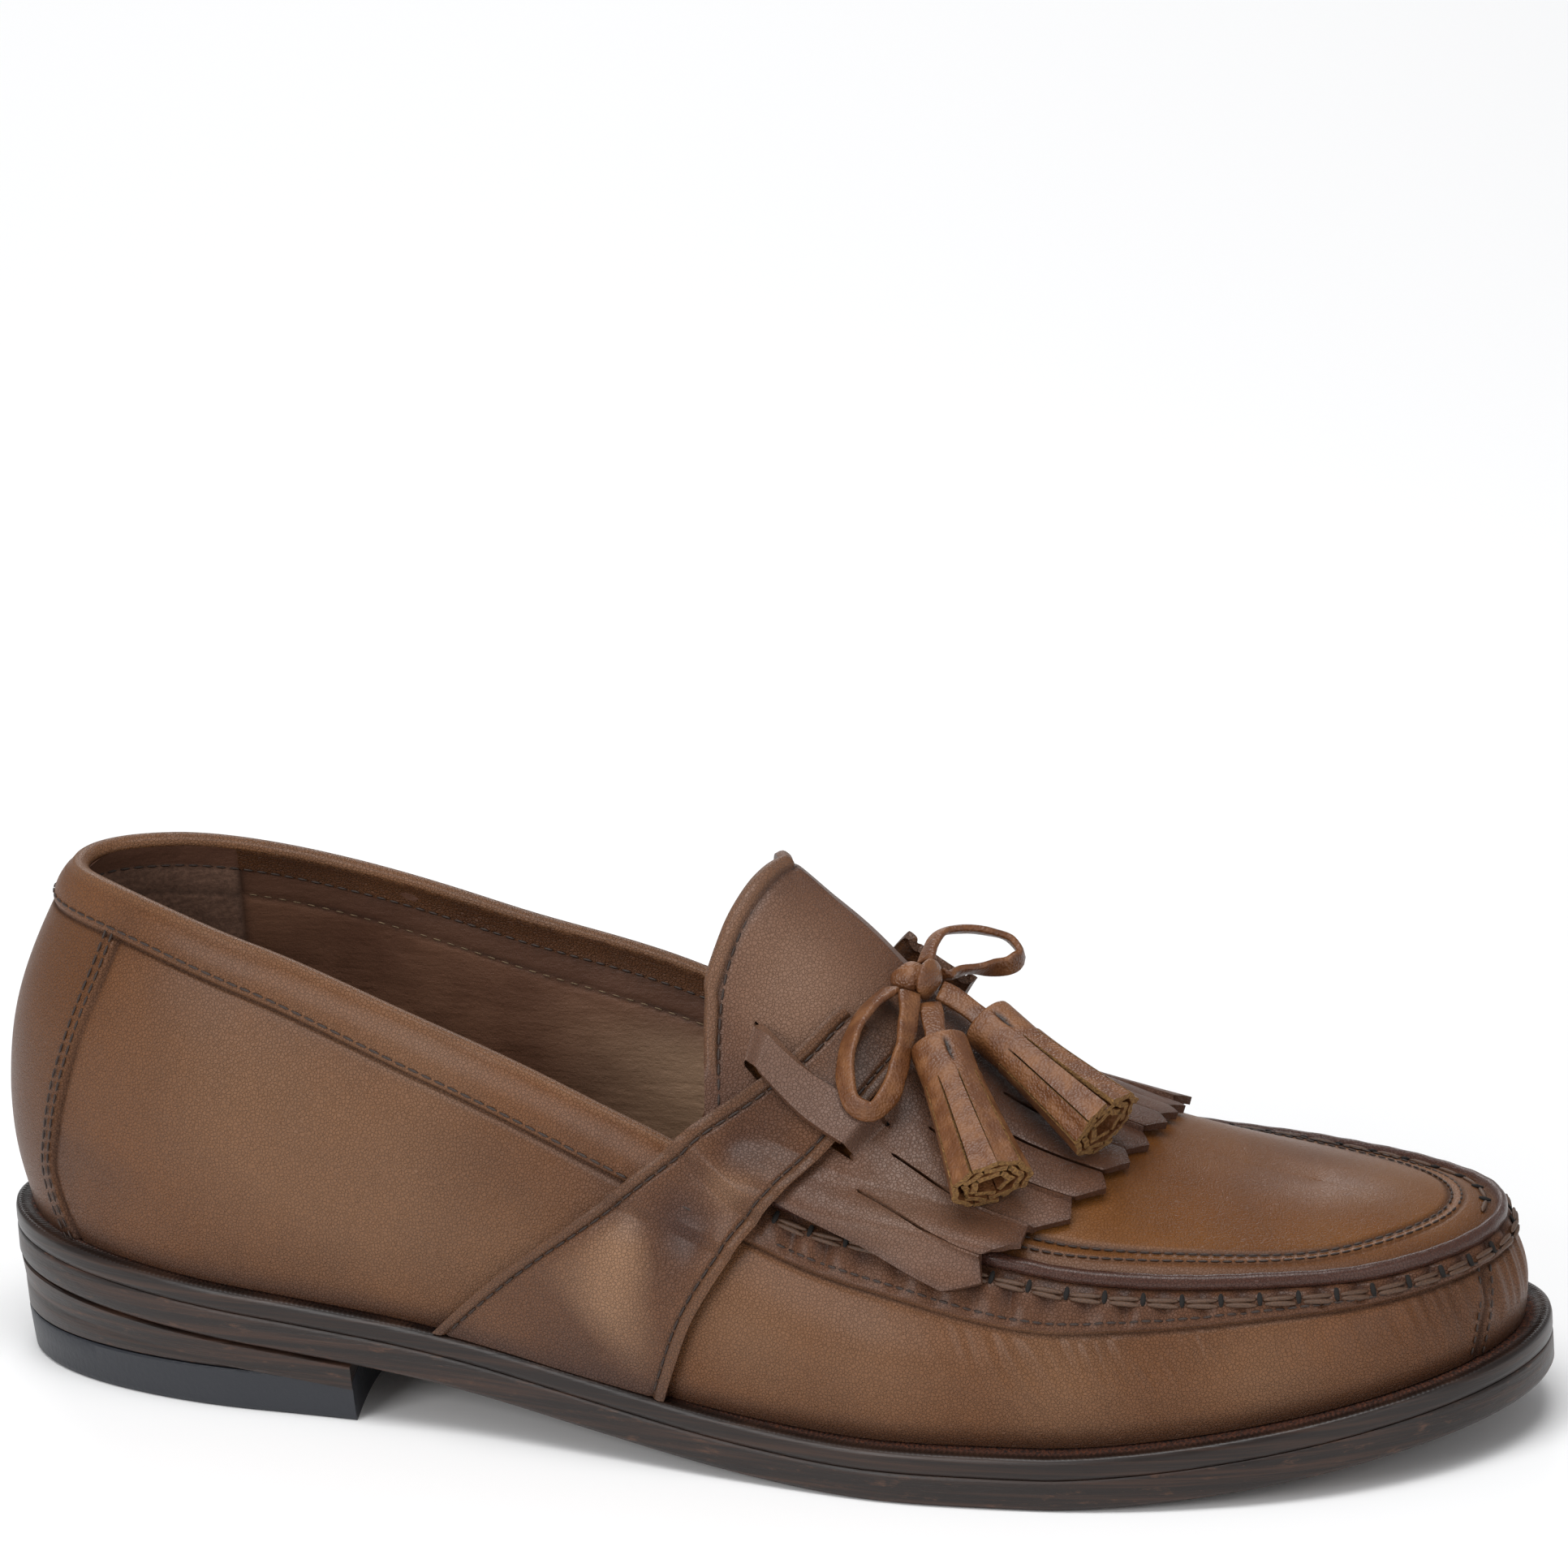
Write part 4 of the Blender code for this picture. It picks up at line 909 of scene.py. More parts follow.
def last(t, v):
    """The upper's outer surface: v is 0 at the welt, 1 at the collar or ridge, 2 on the centre line."""
    t, v = np.broadcast_arrays(np.asarray(t, float), np.asarray(v, float))
    low = np.clip(v, None, 1.0)
    margin, wide, rim = side_size("margin", t), side_size("wide", t), side_size("rim", t)
    turned = np.clip((low - WIDEST) / (1 - WIDEST), 0, 1) ** WALL_ROUND
    inset = np.where(low < WIDEST, wide + (margin - wide) * (1 - low / WIDEST) ** 2,
                     wide + (rim - wide) * turned)
    edge, aim = outline(t), inward(t)
    plan, foot = edge + aim * inset[..., None], edge + aim * margin[..., None]
    side = np.concatenate([plan, (welt_z(foot[..., 0]) + low * side_size("rise", t))[..., None]], -1)
    u = np.clip(v - 1, 0, 1)
    return side + (centre(t) - side) * np.stack([u, u, 1 - (1 - u) ** CROWN], -1)


def last_normal(t, v):
    t, v = np.broadcast_arrays(np.asarray(t, float), np.asarray(v, float))
    low = np.where(v <= 1, v - 0.01, np.maximum(v - 0.01, 1.0001))
    high = np.where(v <= 1, np.minimum(v + 0.01, 1.0), np.minimum(v + 0.01, 2.0))
    step = 0.004
    hand = np.where(t < 0, -1.0, 1.0)
    across = last(t, high) - last(t, low)
    along = last(t + step, v) - last(t - step, v)
    ridge_across = np.stack([0 * hand, -hand * 0.001, 0 * hand], -1)
    ridge_along = (centre(np.minimum(np.abs(t) + step, 1.0)) - centre(np.abs(t) - step)) * hand[..., None]
    crest = (v > 1.97)[..., None]
    return unit(np.cross(np.where(crest, ridge_across, across), np.where(crest, ridge_along, along)))


def skin_normal(t, v):
    """The last's normal with the ridge's corner rounded."""
    return unit(sum(last_normal(t, np.clip(v + d, 0.0, 2.0)) for d in (-0.06, -0.02, 0.02, 0.06)))


def skin(t, v, lift=0.0):
    return last(t, v) + skin_normal(t, v) * np.asarray(lift)[..., None]


def band_v(t):
    """v at the lower edge of the collar band or the gathered strip."""
    return 1 - side_size("band", t) / side_size("rise", t)


def ridge_share(t):
    return ease((station_x(wrap(t)) / LENGTH - RIDGE_START) / (RIDGE_FULL - RIDGE_START))


def edge_step(ridge):
    """How far the collar's band stands out, or the gathered strip where the ridge is."""
    return COLLAR_STEP + (STRIP_STEP - COLLAR_STEP) * ridge


def length_along(v):
    """Distance along the last at this v, from the toe's lateral side round the heel, by t."""
    t = np.linspace(-1, 1, 1601)
    reach = reach_of(last(t, v))
    return lambda at: np.interp(at, t, reach)


RIDGE_RUN = length_along(1.0)
ALL_ROUND = float(RIDGE_RUN(1.0))


def waves(t, pitch):
    """Angle of a wave round the shoe whose pitch divides the whole way, so that it closes at the toe."""
    return 2 * np.pi * round(ALL_ROUND / pitch) * RIDGE_RUN(t) / ALL_ROUND


def seam_line(places, side, lift=0.0, count=300):
    """Points and normals of a seam through (share, v) places on this side of the shoe."""
    places = np.array(places, float)
    run = np.concatenate([[0], np.cumsum(np.hypot(np.diff(places[:, 0]) * 3.0, np.diff(places[:, 1])))])
    even = np.linspace(0, run[-1], count)
    t = station_t(smooth(run, places[:, 0])(even), side)
    v = smooth(run, places[:, 1])(even)
    return skin(t, v, lift), skin_normal(t, v)


def soft_noise(points, scale, seed=0.0):
    """Smooth noise of about -1 to 1 from a few turned waves, with no grid to it."""
    rng = np.random.default_rng(int(seed * 10) + 7)
    total = np.zeros(len(points))
    for k in range(14):
        way = unit(rng.normal(size=3))
        bend = unit(rng.normal(size=3))
        turned = points @ way * scale * rng.uniform(0.6, 1.7) + 0.9 * np.sin(points @ bend * scale * 0.7 + k)
        total += np.sin(turned * 2 * np.pi + rng.uniform(0, 6.28))
    return total / 5.0


def wall_path():
    """Rows of the side wall: v and lift on the outside, then the angle over the fold, then the inside."""
    outside = [("out", v) for v in np.concatenate([np.linspace(0, 0.70, 40), np.linspace(0.715, 0.985, 34)])]
    fold = [("fold", angle) for angle in np.linspace(0, np.pi, 15)]
    inside = [("in", v) for v in np.linspace(0.985, 0.90, 7)]
    return outside + fold + inside


INNER_BAND = 0.0048            # the collar's leather turned down inside
PATH = wall_path()


def wall_relief(t, v, points):
    """How far the quarters and vamp stand out of the last, apart from their seams."""
    ridge, band = ridge_share(t), band_v(t)
    step = edge_step(ridge)
    above = np.clip((v - band) / (1 - band), 0, 1)
    lift = step * ease((v - band + 0.004) / 0.012)
    lift = lift + COLLAR_PAD * (1 - ridge) * np.sin(np.pi * above) ** 0.7 * (above > 0)
    gather = np.abs(np.sin(waves(t, STITCH_PITCH) / 2)) ** 0.7
    uneven = 1 + 0.4 * np.sin(waves(t, 0.019) + 1.0) + 0.3 * np.sin(waves(t, 0.033))
    lift = lift + PUCKER * ridge * uneven * (gather - 0.5) * np.sin(np.pi * np.clip(above * 1.15, 0, 1)) * 1.6
    lift = lift - 0.0005 * ridge * ease((above - 0.62) / 0.25)
    share = station_x(t) / LENGTH
    below = (v < band) * ease((band - v) / 0.03)
    lean = 0.55 * np.sin(np.pi * t) * v * side_size("rise", t)
    fine = (np.sin(waves(t, 0.0031) + lean * 2 * np.pi / 0.0031 + 2.2 * np.sin(waves(t, 0.021)))
            + 0.8 * np.sin(waves(t, 0.0053) + lean * 2 * np.pi / 0.0053 + 1.8 * np.sin(waves(t, 0.037) + 1))
            + 0.6 * np.sin(waves(t, 0.0113) + lean * 2 * np.pi / 0.0113 + 1.2 * np.sin(waves(t, 0.05))))
    where = ease((share - 0.60) / 0.1) * np.exp(-((v - band + 0.18) / 0.34) ** 2)
    fade = 0.55 + 0.45 * np.sin(waves(t, 0.066) + 0.6)
    lift = lift + VAMP_WRINKLE * fine * where * below * fade
    slow = soft_noise(points, 24.0, 1.0)
    return lift + 0.00022 * slow * ease(v / 0.1) * (1 - 0.5 * ridge)


PAINTED_HIGHLIGHTS = [
    # share, v, radius in metres, share of the change: painted highlights, paler patches where the light catches
    # the calf
    (0.20, 0.55, 0.024, 0.9), (0.29, 0.42, 0.022, 1.0), (0.40, 0.30, 0.016, 0.7), (0.545, 0.42, 0.013, 0.9),
    (0.63, 0.40, 0.014, 0.7), (0.75, 0.42, 0.013, 0.9), (0.87, 0.40, 0.012, 0.8), (0.33, 0.88, 0.012, 0.5),
]


def painted_highlight(t, v):
    """How far the wall is lightened by painted highlights, by place, the same on both sides."""
    total = np.zeros(len(t))
    for share, at, radius, strength in PAINTED_HIGHLIGHTS:
        gap = np.hypot(station_x(t) - share * LENGTH, (v - at) * side_size("rise", t))
        total += strength * np.exp(-(gap / radius) ** 2)
    return np.clip(total, 0, 1)


def make_quarters():
    """The outside of the wall from the welt up, over the collar's fold or the ridge's bead, and a
    little way down inside."""
    rows = len(PATH) - 1
    piece, round_way, up_way = new_grid("quarters_and_vamp", 1000, rows)
    t = np.clip(round_way * 2 - 1, -1, 1)
    row = np.round(up_way * rows).astype(int)
    kind = np.array([{"out": 0, "fold": 1, "in": 2}[k] for k, _ in PATH])[row]
    value = np.array([v for _, v in PATH])[row]
    ridge, band = ridge_share(t), band_v(t)
    # The rows up to 0.70 run from the welt to the band's edge, so its step stays sharp
    v = np.where(kind == 0, np.where(value <= 0.70, value / 0.70 * (band - 0.02),
                                     band - 0.02 + (value - 0.70) / 0.285 * (0.985 - band + 0.02)), 1.0)
    base, normal = last(t, v), skin_normal(t, v)
    lift = wall_relief(t, v, base)
    outer = base + normal * lift[:, None]
    # Fold over the collar in the rear, bead of the ridge in front
    edge = last(t, 1.0)
    edge_normal = skin_normal(t, 1.0)
    rising = unit(edge - last(t, 0.93))
    rear_normal = last_normal(t, 0.99)
    step = edge_step(ridge)
    angle = np.where(kind == 1, value, np.pi)
    half = (step + WALL + FOLD_ROOM) / 2
    middle = (step - WALL - FOLD_ROOM) / 2
    fold = edge + rear_normal * (middle + half * np.cos(angle))[:, None] \
        + rising * (RIM_UP * np.sin(angle))[:, None]
    down = np.where(kind == 2, (0.985 - value) / 0.085, 0.0)
    inner_v = 1.0 - down * INNER_BAND / side_size("rise", t)
    inner = last(t, inner_v) - last_normal(t, np.minimum(inner_v, 0.99)) \
        * (WALL + FOLD_ROOM - 0.0002 * np.sin(np.pi * down))[:, None]
    phase = waves(t, STITCH_PITCH)
    pinch = 1 - 0.06 * (0.5 + 0.5 * np.cos(phase)) + 0.02 * np.sin(waves(t, 0.023))
    radius = BEAD_RADIUS * pinch
    bead_centre = edge + edge_normal * (BEAD_LIFT + 0.0002)
    bead = bead_centre + (edge_normal * np.sin(angle)[:, None]
                          - rising * np.cos(angle)[:, None]) * radius[:, None]
    tucked = last(t, 1.0 + 0.06 * down + 0.03) - last_normal(t, 1.06) * (0.0006 * down)[:, None]
    over = (kind == 1)[:, None]
    tail_rear, tail_front = np.where(over, fold, inner), np.where(over, bead, tucked)
    tail = tail_rear + (tail_front - tail_rear) * ridge[:, None]
    points = np.where((kind == 0)[:, None], outer, tail)

    # Seams pressed into the leather
    on_out = kind == 0
    groove = np.zeros(len(t))
    strip = np.zeros(len(t))
    for side in (-1, 1):
        line, _ = seam_line(HEEL_SEAM, side)
        mine = on_out & (np.sign(t) == side) & (np.abs(t) < 0.35)
        gap = near(points[mine], line)
        groove[mine] = np.maximum(groove[mine], hump(gap, 0.0, 0.0006))
        seam_t = np.interp(v[mine], [p[1] for p in HEEL_SEAM][::-1], [p[0] for p in HEEL_SEAM][::-1])
        inside = (station_x(t[mine]) / LENGTH < seam_t) & (v[mine] < band[mine])
        strip[mine] = np.where(inside, ease(gap / 0.0006), 0.0)
    line, _ = seam_line(TOE_SEAM, -1)
    mine = on_out & (t < -0.8)
    gap = near(points[mine], line)
    groove[mine] = np.maximum(groove[mine], hump(gap, 0.0, 0.0007))
    at_band = on_out * hump((v - band) * side_size("rise", t), -0.0003, 0.00035)
    points = points + normal * (strip * 0.0005 - groove * 0.0004 - at_band * 0.0003)[:, None]
    set_places(piece, points - MIDDLE)
    paint(piece, "seam", np.clip(np.maximum(groove, at_band), 0, 1))
    on_bead = ridge * ((kind == 1) | ((kind == 0) & (v > 0.972)))
    paint(piece, "ridge", on_bead)
    above = np.clip((v - band) / (1 - band), 0, 1) * (kind == 0) + (kind > 0)
    paint(piece, "strip", ridge * (above > 0.02) * (kind == 0))
    paint(piece, "collar", (1 - ridge) * (above > 0.0))
    # Painted shade: the lowest 6 mm of the wall, in the corner with the welt
    paint(piece, "foot", (kind == 0) * (1 - ease(v * side_size("rise", t) / 0.006)))
    paint(piece, "heel", strip)
    # Painted shade in the hollows of the gathers, where the stitches pull the leather in
    paint(piece, "gather", ridge * (0.5 + 0.5 * np.cos(phase)) * ease((above - 0.25) / 0.3) * (kind == 0))
    # Painted shade: the collar's leather turned down inside the shoe
    paint(piece, "inside", (kind == 2) * (1 - ridge))
    # Painted highlight: paler patches on the wall and along the top of the collar's fold
    paint(piece, "painted_highlight", painted_highlight(t, v) * on_out + 0.6 * (kind == 1) * (1 - ridge))
    weld(piece)
    if piece.data.polygons[0].normal.dot(Vector(piece.data.polygons[0].center) - Vector((0, 0, 0.03))) < 0:
        piece.data.flip_normals()
    return piece


def calf(made, dark, light, warm):
    """Aniline calf: a dyed ground that drifts in tone, with fine pores and a rubbed shine."""
    drift = made.noise(26.0, 4.0, 0.55).between(0.30, 0.72)
    cloud = made.noise(75.0, 3.0).between(0.35, 0.75)
    pores = made.cells(2300.0).between(0.05, 0.45)
    colour = made.mix(drift, dark, light)
    colour = made.mix(cloud * 0.40, colour, warm)
    return made.mix((1 - pores) * 0.16, colour, tuple(c * 0.45 for c in dark)), drift, pores


def grain(made, pores, depth=0.00026):
    """The normal of calf: pores and the fine creases between them."""
    creased = made.cells(1500.0, "DISTANCE_TO_EDGE").between(0.0, 0.12)
    return made.bump(creased * 0.5 + pores * 0.35 + made.noise(850.0, 3.0) * 0.6, depth)


def quarter_finish():
    made = Finish("brown_calf", 0.4, Coat_Roughness=0.28, Specular_IOR_Level=0.22)
    colour, drift, pores = calf(made, (0.092, 0.035, 0.013), (0.150, 0.060, 0.022), (0.158, 0.056, 0.014))
    # Painted highlight mixed into the calf's colour
    colour = made.mix(made.mark("painted_highlight") * 0.6, colour, (0.205, 0.104, 0.052))
    ridge, seam, foot = made.mark("ridge"), made.mark("seam"), made.mark("foot")
    colour = made.mix(made.mark("heel") * 0.6, colour, (0.110, 0.040, 0.011))
    colour = made.mix(made.mark("strip") * 0.7, colour, (0.090, 0.037, 0.019))
    # Painted shade in the gathers' hollows
    colour = made.mix(made.mark("gather") * 0.6, colour, (0.036, 0.014, 0.009))
    colour = made.mix(ridge * 0.85, colour, (0.052, 0.019, 0.014))
    # Painted shade at the foot of the wall, beside the welt
    colour = made.mix(foot * 0.75, colour, (0.040, 0.016, 0.009))
    colour = made.mix(seam * 0.7, colour, (0.028, 0.012, 0.007))
    # Painted shade inside the collar
    colour = made.mix(made.mark("inside") * 0.4, colour, (0.060, 0.028, 0.018))
    return made.use(Base_Color=colour, Roughness=0.42 + drift * 0.10 - ridge * 0.12 + seam * 0.25,
                    Coat_Weight=0.16 - seam * 0.16 + ridge * 0.19, Normal=grain(made, pores))


quarters = make_quarters()
finish_piece(quarters, [quarter_finish()], ["upper"])


# Plug: the smooth apron over the toes, tan calf sewn into the ridge, with a double row of stitches
# 8 mm inside it and a slightly raised border between.
APRON_SEAM = [(0.540, 1.100), (0.640, 1.115), (0.731, 1.132), (0.819, 1.173), (0.901, 1.195), (0.958, 1.249),
              (1.0, 1.265)]
BORDER_RAISE, SEAM_WIDTH = 0.00045, 0.0005
PLUG_FROM = 0.500


def apron_v(t):
    """v of the plug's double seam."""
    return smooth([p[0] for p in APRON_SEAM], [p[1] for p in APRON_SEAM])(station_x(t) / LENGTH)


def top_width(t):
    """Metres to one step of v over the toes."""
    return np.linalg.norm(centre(t) - last(t, 1.0), axis=1) * 0.75


def plug_rise(t, v, inner):
    """The border between the double seam and the ridge stands a little higher."""
    width = top_width(t)
    return ease((inner - v) * width / 0.0015) * ease((v - 1.02) * width / 0.003)


def make_plug():
    piece, long_way, wide_way = new_grid("plug", 300, 200)
    start = float(station_t(PLUG_FROM))
    hand = np.where(wide_way < 0.5, -1.0, 1.0)
    t = hand * (start + (1 - start) * long_way)
    w = np.abs(wide_way * 2 - 1)
    v = 2 - (1 - 0.025) * w ** 1.15
    base, normal = last(t, v), skin_normal(t, v)
    inner = apron_v(t)
    width = top_width(t)
    off = (v - inner) * width
    border = plug_rise(t, v, inner)
    seam = np.maximum(hump(off, 0.0003, SEAM_WIDTH), hump(off, -0.0017, SEAM_WIDTH * 0.7) * 0.6)
    slow = soft_noise(base, 20.0, 2.0)
    share = station_x(t) / LENGTH
    folds = np.sin(share * 2 * np.pi / 0.020 + 1.5 * np.sin(w * 3)) \
        * hump(share, 0.70, 0.045) * ease((v - inner) / 0.1)
    lift = border * BORDER_RAISE - seam * 0.0003 + slow * 0.0002 + folds * 0.00005
    set_places(piece, base + normal * lift[:, None] - MIDDLE)
    paint(piece, "seam", seam)
    paint(piece, "border", border)
    # Painted shade: the plug darkens over its last 6 mm beside the ridge
    paint(piece, "rim", 1 - ease((v - 1.0) * width / 0.006))
    weld(piece)
    face_towards(piece, (0, 0, 1))
    return piece


def plug_finish():
    made = Finish("tan_calf", 0.36, Coat_Roughness=0.26, Specular_IOR_Level=0.17)
    colour, drift, pores = calf(made, (0.120, 0.041, 0.009), (0.178, 0.068, 0.014), (0.172, 0.058, 0.009))
    # Painted shade beside the ridge
    colour = made.mix(made.mark("rim") * 0.7, colour, (0.075, 0.028, 0.012))
    colour = made.mix(made.mark("border") * 0.3, colour, (0.150, 0.060, 0.022))
    colour = made.mix(made.mark("seam") * 0.75, colour, (0.040, 0.015, 0.007))
    return made.use(Base_Color=colour, Roughness=0.36 + drift * 0.09 + made.mark("seam") * 0.2,
                    Coat_Weight=0.15, Normal=grain(made, pores, 0.00016))


plug = make_plug()
finish_piece(plug, [plug_finish()])


# Lining: thin dark calf inside the quarters and the instep, with a band of its own leather under the
# collar, a row of pale stitches, and a suede patch round the heel.
LINING_IN = 0.0022             # inside the last
PATCH_END = 0.125              # share of the length where the suede patch stops
BAND_LINE = 0.0105             # the pale stitches' depth under the rim
LONGEST_EDGE = 0.0065          # of a face that lies on the lining


def make_lining():
    piece, long_way, wide_way = new_grid("lining", 360, 150)
    hand = np.where(wide_way < 0.5, -1.0, 1.0)
    t = hand * long_way * 0.999
    w = np.abs(wide_way * 2 - 1)
    share = station_x(t) / LENGTH
    rear_v = np.where(w < 0.12, 1.0, 1.0 - (w - 0.12) / 0.88 * 0.95)
    front_v = 2 - w * 1.95
    v = rear_v + (front_v - rear_v) * ease((share - 0.50) / 0.03)
    base = last(t, v)
    normal = np.where((v > 1.0)[:, None], skin_normal(t, v), last_normal(t, np.minimum(v, 0.99)))
    depth = 0.0004 * np.sin(share * 95) * np.sin(v * 9) + 0.0003 * soft_noise(base, 60.0, 3.0)
    run = share * LENGTH
    height = v * side_size("rise", t)
    creases = 0.0003 * np.sin(height * 2 * np.pi / 0.0036 + 1.8 * np.sin(run * 2 * np.pi / 0.019)
                              + 1.1 * np.sin(run * 2 * np.pi / 0.0083 + height * 200)) \
        * hump(share, 0.44, 0.08) * hump(v, 0.42, 0.22)
    line = hump((1 - v) * side_size("rise", t), BAND_LINE, 0.0005) * (share < 0.51)
    patch_edge = hump(share, PATCH_END, 0.003)
    patch = (share < PATCH_END) * 1.0
    lift = -LINING_IN - np.abs(depth) * 0.4 - np.abs(creases) + line * 0.00025 - patch * 0.0004
    points = base + normal * lift[:, None]
    set_places(piece, points - MIDDLE)
    paint(piece, "patch", patch * ((1 - v) * side_size("rise", t) > 0.0045))
    paint(piece, "worn", ease((share - 0.30) / 0.18) * (1 - ease((v - 0.60) / 0.25)))
    paint(piece, "line", np.maximum(line, patch_edge * (v < 0.93)))
    paint(piece, "band", ((1 - v) * side_size("rise", t) < BAND_LINE) * (share < 0.51))
    mesh = bmesh.new()
    mesh.from_mesh(piece.data)
    # The grid's middle column bridges the opening: those faces go, and so do folded ones
    stray = [face for face in mesh.faces if face.calc_area() < 1e-12
             or max((a.co - b.co).length for a in face.verts for b in face.verts) > LONGEST_EDGE]
    bmesh.ops.delete(mesh, geom=stray, context="FACES")
    mesh.to_mesh(piece.data)
    mesh.free()
    weld(piece)
    return piece


def lining_finish():
    made = Finish("lining_leather", 0.55, Coat_Weight=0.05)
    drift = made.noise(45.0, 4.0).between(0.3, 0.7)
    creased = made.noise(170.0, 4.0, 0.6, made.stretched((0.6, 0.6, 2.6)))
    nap = made.noise(900.0, 5.0, 0.75)
    colour = made.mix(drift, (0.140, 0.062, 0.036), (0.220, 0.106, 0.062))
    colour = made.mix(made.mark("worn") * 0.8, colour, (0.560, 0.370, 0.235))
    colour = made.mix(made.mark("band") * 0.6, colour, (0.095, 0.042, 0.026))
    colour = made.mix(made.mark("patch"), colour, made.mix(nap.between(0.35, 0.7), (0.150, 0.080, 0.052),
                                                           (0.270, 0.150, 0.100)))
    colour = made.mix(made.mark("line") * 0.6, colour, (0.030, 0.015, 0.010))
    return made.use(Base_Color=colour, Roughness=0.48 + made.mark("patch") * 0.4,
                    Normal=made.bump(creased * 0.7 + nap * 0.5, 0.0004))


lining = make_lining()
finish_piece(lining, [lining_finish()])


# Stitches: waxed thread drawn tight by machine, a short bead of it for each stitch, bedded in the
# leather. Dark rows hold the collar, heel strip, toe seam and plug, and a pale one the lining.
THREAD = 0.00054
THREAD_SIDES = 6


def thread_finish(name, colour):
    made = Finish(name, 0.6)
    twist = made.noise(4000.0, 2.0)
    return made.use(Base_Color=made.mix(twist.between(0.3, 0.7), tuple(c * 0.45 for c in colour), colour))


DARK_THREAD = thread_finish("dark_thread", (0.036, 0.017, 0.010))
PALE_THREAD = thread_finish("pale_thread", (0.26, 0.17, 0.09))


def spaced(points, normals, pitch, start):
    """Places at even steps along a line, with the line's direction and the leather's normal there."""
    reach = reach_of(points)
    count = max(1, round(reach[-1] / pitch))
    even = (np.arange(count) + start) * reach[-1] / count
    ahead, behind = (at_reach(even + step, reach, points) for step in (pitch * 0.2, -pitch * 0.2))
    return at_reach(even, reach, points), unit(ahead - behind), unit(at_reach(even, reach, normals))


def sew(name, lines, pitch, length, thick, material, lift=0.0, slant=0.0, high=0.8, start=0.5):
    """Stitches along (points, normals) lines, as one piece."""
    bpy.ops.object.select_all(action="DESELECT")
    bpy.ops.mesh.primitive_uv_sphere_add(segments=THREAD_SIDES, ring_count=5, radius=1.0)
    piece = bpy.context.object
    piece.name = piece.data.name = name
    mould = np.array([v.co[:] for v in piece.data.vertices])[:, [2, 0, 1]]
    faces = [list(p.vertices) for p in piece.data.polygons]
    shape = np.sign(mould) * np.abs(mould) ** np.array([0.8, 1.0, 1.0])
    points, all_faces = [], []
    for line, normals in lines:
        places, along, normal = spaced(line, normals, pitch, start)
        side = np.cross(normal, along)
        along = unit(along + side * slant)
        side = np.cross(normal, along)
        for place, a, s, n in zip(places, along, side, normal):
            base = len(points) * len(mould)
            points.append(place + n * lift + (a * (length / 2)) * shape[:, :1]
                          + (s * (thick / 2)) * shape[:, 1:2] + (n * (thick / 2 * high)) * shape[:, 2:])
            all_faces += [[base + k for k in face] for face in faces]
    mesh = piece.data
    mesh.clear_geometry()
    mesh.from_pydata(np.concatenate(points) - MIDDLE, [], all_faces)
    mesh.shade_smooth()
    mesh.update()
    return finish_piece(piece, [material])


def wall_line(share_from, share_to, side, v_of, lift, count=500, relief=False):
    """A line of the side wall whose v follows the station."""
    t = np.linspace(float(station_t(share_from, side)), float(station_t(share_to, side)), count)
    v = v_of(t)
    if relief:
        lift = lift + wall_relief(t, v, last(t, v))
    return skin(t, v, lift), skin_normal(t, v)


def shifted(line, distance):
    """The same line moved sideways over the leather."""
    points, normals = line
    return points + np.cross(normals, unit(np.gradient(points, axis=0))) * distance, normals


collar_lines = [wall_line(0.0004, 0.535, side, lambda t: band_v(t) + 0.020, 0.00012, relief=True)
                for side in (-1, 1)]
sew("collar_stitches", collar_lines, 0.0029, 0.0024, THREAD, DARK_THREAD)
heel_lines = []
for side in (-1, 1):
    line = seam_line(HEEL_SEAM, side, 0.00085)
    heel_lines += [shifted(line, 0.0014 * side), shifted(line, 0.0031 * side)]
sew("heel_strip_stitches", heel_lines, 0.0027, 0.0022, THREAD, DARK_THREAD)
toe_line = seam_line(TOE_SEAM, -1, 0.0002)
sew("toe_seam_stitches", [shifted(toe_line, 0.0016), shifted(toe_line, -0.0016)], 0.0022, 0.0015, THREAD,
    DARK_THREAD)
strip_lines = [wall_line(0.56, 0.9999, side, lambda t: band_v(t) + 0.048, 0.0001, 900, True)
               for side in (-1, 1)]
sew("strip_stitches", strip_lines, 0.0023, 0.0018, THREAD, DARK_THREAD)
apron_lines = [wall_line(0.56, 0.99995, side, apron_v, 0.0001, 900) for side in (-1, 1)]
border_lines = [wall_line(0.56, 0.99995, side, lambda t: apron_v(t) - 0.050, BORDER_RAISE, 900)
                for side in (-1, 1)]
sew("apron_stitches", apron_lines + border_lines, 0.0022, 0.0018, THREAD * 0.9, DARK_THREAD)
pale_lines = [wall_line(PATCH_END + 0.003, 0.497, side,
                        lambda t: 1 - BAND_LINE / side_size("rise", t), -LINING_IN - 0.0001) for side in (-1, 1)]
sew("lining_stitches", pale_lines, 0.0028, 0.0016, THREAD * 0.55, PALE_THREAD)
inner_lines = [wall_line(0.0006, 0.497, side, lambda t: 1 - (INNER_BAND - 0.0004) / side_size("rise", t),
                         -WALL - 0.0009) for side in (-1, 1)]
sew("collar_inner_stitches", inner_lines, 0.0026, 0.0019, THREAD, DARK_THREAD)


# Hand stitches of the ridge: doubled waxed thread laid from hole to hole at each gather under the
# bead, with a flat dark piece as painted shade in the hole where it goes in. On the inner side they come up
# beside the plug.
RIDGE_THREAD = 0.0011
BELOW_BEAD = 0.0031            # the outer row's distance under the ridge's edge
INSIDE_BEAD = 0.0022           # the inner row's distance from it over the plug
SPANNED = 49                   # points of the row over which the gathers are evened out
# Painted shade: near-black pieces laid in the thread holes
HOLE_SHADE = Finish("thread_hole_shade", 0.9).use(Base_Color=(0.006, 0.004, 0.003))
WAXED_THREAD = thread_finish("waxed_thread", (0.105, 0.050, 0.025))


